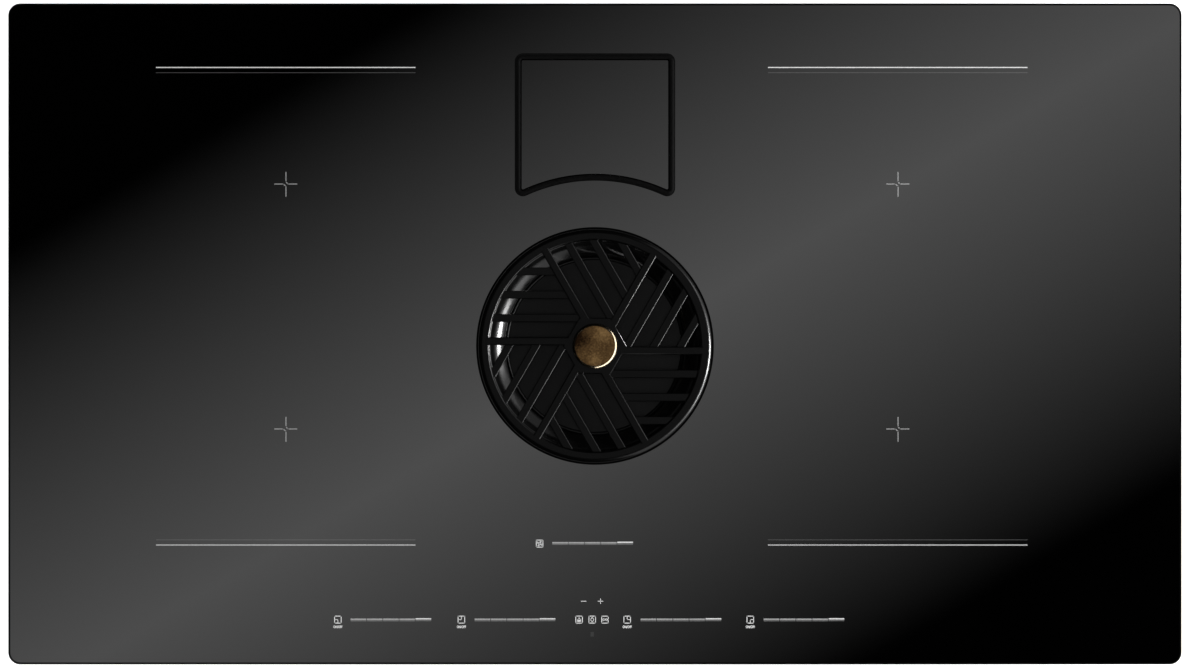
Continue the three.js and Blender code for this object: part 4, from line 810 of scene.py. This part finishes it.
heads = bmesh.new()
for x in (-394, -306):
    for z in (114, 143):
        screw(heads, (x, 227.8, z), (0, 1, 0))
for x in (-261, -169):
    for y in (-86, 46):
        screw(heads, (x, y, 100), (0, 0, -1))
for x in (106, 336):
    for z in (14, 46, 78):
        screw(heads, (x, 153.3, z), (0, 1, 0))
for x, y in ((322, 138), (322, 60), (320, -10), (292, -87), (122, 138), (212, 138)):
    screw(heads, (x, y, 91.3), (0, 0, 1))
make("hexagon_screws", heads, zinc, "hob", "steel")


# ---- Floor and sky ---------------------------------------------------------------------------------
# White floor that keeps the hob's shadow and is clear from below, under a plain white sky. What the
# camera sees of them is white, and what lights the hob is a little darker.

FLOOR_SIZE = 12
FLOOR_GLOW = 0.7
SKY_LIGHT = 0.72


def stage_material(name):
    """Material with an output and nothing else."""
    made = bpy.data.materials.new(name)
    made.use_nodes = True
    made.node_tree.nodes.clear()
    return made, made.node_tree, made.node_tree.nodes.new("ShaderNodeOutputMaterial")


ground_sheet = bmesh.new()
bmesh.ops.create_grid(ground_sheet, x_segments=1, y_segments=1, size=FLOOR_SIZE)
floor = as_object("floor", ground_sheet)
white, tree, out = stage_material("white_floor")
diffuse = tree.nodes.new("ShaderNodeBsdfDiffuse")
diffuse.inputs["Color"].default_value = (0.8, 0.8, 0.8, 1)
glow = tree.nodes.new("ShaderNodeEmission")
rays = tree.nodes.new("ShaderNodeLightPath")
both = tree.nodes.new("ShaderNodeAddShader")
clear = tree.nodes.new("ShaderNodeBsdfTransparent")
side = tree.nodes.new("ShaderNodeNewGeometry")
mix = tree.nodes.new("ShaderNodeMixShader")
tree.links.new(maths(tree, "MULTIPLY", rays.outputs["Is Camera Ray"], FLOOR_GLOW), glow.inputs["Strength"])
tree.links.new(diffuse.outputs[0], both.inputs[0])
tree.links.new(glow.outputs[0], both.inputs[1])
tree.links.new(side.outputs["Backfacing"], mix.inputs[0])
tree.links.new(both.outputs[0], mix.inputs[1])
tree.links.new(clear.outputs[0], mix.inputs[2])
tree.links.new(mix.outputs[0], out.inputs["Surface"])
floor.data.materials.append(white)

world = bpy.data.worlds.new("sky")
bpy.context.scene.world = world
world.use_nodes = True
tree = world.node_tree
back = tree.nodes["Background"]
back.inputs["Color"].default_value = (1, 1, 1, 1)
rays = tree.nodes.new("ShaderNodeLightPath")
mirrored = maths(tree, "MAXIMUM", rays.outputs["Is Camera Ray"], rays.outputs["Is Glossy Ray"])
seen = maths(tree, "MAXIMUM", mirrored, rays.outputs["Is Transmission Ray"])
tree.links.new(ranged(tree, seen, SKY_LIGHT, 1.0), back.inputs["Strength"])


# ---- Reflected cards -------------------------------------------------------------------------------
# A screen above the hob, bright along its middle, gives the glass its slanting sheen. To all but the glass
# and its print it is dark and keeps the sky off. The wall round the hob is as white as the sky, but dark
# to the black enamel and the knob.

SCREEN_HEIGHT = 1.2
SCREEN_SIZE = 4.5
SHEEN_SLANT = 30.3
SHEEN_MIDDLE = -0.0268
SHEEN_REACH = 0.349
SHEEN_ENDS = (0.65, 1.0)
SHEEN_CURVE = 1.2
SHEEN_LIGHT = 1.69
WALL_RADIUS = 4
WALL_HEIGHT = 1.41


def linked(name, *pieces, state="INCLUDE"):
    """Collection for light linking that names the pieces a lamp is for, or is kept off."""
    group = bpy.data.collections.new(name)
    for piece in pieces:
        group.objects.link(bpy.data.objects[piece])
    for member in group.collection_objects:
        member.light_linking.link_state = state
    return group


def only_mirrored(card):
    """Hides a card from all but mirrors."""
    card.visible_camera = False
    card.visible_diffuse = False
    card.visible_transmission = False
    card.visible_shadow = False


screen_sheet = bmesh.new()
bmesh.ops.create_grid(screen_sheet, x_segments=1, y_segments=1, size=SCREEN_SIZE)
screen = as_object("screen", screen_sheet)
screen.location = (0, 0, GLASS_TOP / 1000 + SCREEN_HEIGHT)
only_mirrored(screen)
screen.light_linking.receiver_collection = linked(
    "mirrors_the_screen", "glass_pane", "weighing_pane", "zone_crosses", "zone_lines_rear",
    "zone_lines_front", "zone_lines_inner", "slider_tops", "slider_ends", "slider_feet", "key_signs",
    "switch_words", "lock_light")
sheen, tree, out = stage_material("screen_light")
glow = tree.nodes.new("ShaderNodeEmission")
place = tree.nodes.new("ShaderNodeTexCoord")
turn = tree.nodes.new("ShaderNodeMapping")
turn.vector_type = "TEXTURE"
turn.inputs["Rotation"].default_value = (0, 0, radians(SHEEN_SLANT))
turn.inputs["Location"].default_value = (0, SHEEN_MIDDLE, 0)
parts = tree.nodes.new("ShaderNodeSeparateXYZ")
tree.links.new(place.outputs["Object"], turn.inputs["Vector"])
tree.links.new(turn.outputs["Vector"], parts.inputs[0])
away = ranged(tree, maths(tree, "ABSOLUTE", parts.outputs["Y"]), 1, 0, end=SHEEN_REACH)
along = ranged(tree, maths(tree, "ABSOLUTE", parts.outputs["X"]), SHEEN_LIGHT, 0, *SHEEN_ENDS)
strength = maths(tree, "MULTIPLY", maths(tree, "POWER", away, SHEEN_CURVE), along)
tree.links.new(strength, glow.inputs["Strength"])
tree.links.new(glow.outputs[0], out.inputs["Surface"])
screen.data.materials.append(sheen)

wall = bmesh.new()
bmesh.ops.create_circle(wall, segments=64, radius=WALL_RADIUS)
raised = bmesh.ops.extrude_edge_only(wall, edges=wall.edges[:])["geom"]
bmesh.ops.translate(wall, vec=(0, 0, WALL_HEIGHT),
                    verts=[part for part in raised if isinstance(part, bmesh.types.BMVert)])
horizon = as_object("horizon", wall)
only_mirrored(horizon)
bright, tree, out = stage_material("horizon_light")
glow = tree.nodes.new("ShaderNodeEmission")
tree.links.new(glow.outputs[0], out.inputs["Surface"])
horizon.data.materials.append(bright)


# ---- Lamps -----------------------------------------------------------------------------------------
# One soft lamp to the right lights everything. Its mirror image is kept off the knob and the black enamel.
# The enamel mirrors a fan of strips instead, bright in the middle and fading to both sides, which draws
# its round edges.

SIDE_LAMP = {"bearing": -6, "rise": 42, "distance": 1.5, "width": 0.42, "height": 0.85, "radiance": 13.4}
STRIP_DISTANCE = 1.2


def lamp(name, bearing, rise, distance, width, height, radiance, shape="RECTANGLE"):
    """Soft box that faces the inlet, placed by its angles in degrees. Radiance is per steradian."""
    light = bpy.data.lights.new(name, "AREA")
    light.shape = shape
    light.size = width
    light.size_y = height
    light.energy = radiance * pi * width * height
    made = bpy.data.objects.new(name, light)
    bpy.context.scene.collection.objects.link(made)
    aim = Vector((0, INLET_Y / 1000, GLASS_TOP / 1000))
    turn, lift = radians(bearing), radians(rise)
    made.location = aim + distance * Vector((cos(turn) * cos(lift), sin(turn) * cos(lift), sin(lift)))
    made.rotation_euler = (made.location - aim).to_track_quat("Z", "Y").to_euler()
    return made


def mirrored_by(group, card):
    """A lamp that is only seen mirrored, by one group of pieces."""
    card.visible_diffuse = False
    card.light_linking.receiver_collection = group


lamp("side_lamp", **SIDE_LAMP).visible_glossy = False
enamelled = ("grille_casting", "inlet_ring", "filter_drum", "filter_weave")
others = linked("not_the_enamel", "knob_turning", *enamelled, state="EXCLUDE")
mirrored_by(others, lamp("side_shine", **SIDE_LAMP))
horizon.light_linking.receiver_collection = others

# The fan's images in the funnel are whole between the bars, so the casting and knob don't shade them.
# Each strip has its bearing, half its width, its rise and half its height in degrees, and its radiance.
passing = linked("do_not_shade_the_strips", "grille_casting", "knob_turning", state="EXCLUDE")
enamel_group = linked("mirrors_the_strips", *enamelled)
mirrored_by(enamel_group, lamp("ceiling", 0, 90, 1.15, 0.6, 0.6, 0.105))
for bearing, spread, rise, tall, radiance in (
    (-5, 9, 39, 8, 54), (-21, 7, 39, 9, 13), (-38, 8, 39, 12, 1.6), (-6, 38, 34, 25, 1),
    (-58, 14, 36, 25, 0.9), (10, 6, 39, 12, 3), (46, 14, 34, 25, 0.4),
):
    halves = (spread * cos(radians(rise)), tall)
    width, height = (2 * STRIP_DISTANCE * math.tan(radians(half)) for half in halves)
    strip = lamp(f"strip_{bearing}", bearing, rise, STRIP_DISTANCE, width, height, radiance)
    strip.light_linking.blocker_collection = passing
    mirrored_by(enamel_group, strip)

# Two narrow lamps square to the ribs' sides draw the rounds of the casting's bars.
casting_group = linked("mirrors_the_rib_lamps", "grille_casting")
for bearing, radiance in ((-31, 6), (30, 2.5)):
    mirrored_by(casting_group, lamp(f"rib_shine_{bearing}", bearing, 39, STRIP_DISTANCE, 0.1, 0.34, radiance))

# The knob's top mirrors a soft light overhead, and its rubbed rim a wide one to the lower right.
knob_group = linked("mirrors_the_knob_lamps", "knob_turning")
mirrored_by(knob_group, lamp("knob_sky", 0, 90, 1.15, 1.1, 1.1, 0.6))
mirrored_by(knob_group, lamp("knob_shine", -24, 38, 1, 3.4, 0.55, 3, "ELLIPSE"))


# ---- Camera ----------------------------------------------------------------------------------------
# It looks straight down from 8 m above the glass, a little beside the middle, so that the picture is as
# wide as 908 mm at the glass.

CAMERA_HEIGHT = 8
PICTURE_WIDTH = 0.9082
PICTURE_MIDDLE = (-0.00226, 0.00034)

eye = bpy.data.cameras.new("camera")
eye.sensor_width = 36
eye.lens = eye.sensor_width * CAMERA_HEIGHT / PICTURE_WIDTH
eye.clip_end = 100
camera = bpy.data.objects.new("camera", eye)
camera.location = (*PICTURE_MIDDLE, GLASS_TOP / 1000 + CAMERA_HEIGHT)
bpy.context.scene.collection.objects.link(camera)
bpy.context.scene.camera = camera
bpy.context.scene.view_settings.view_transform = "Standard"
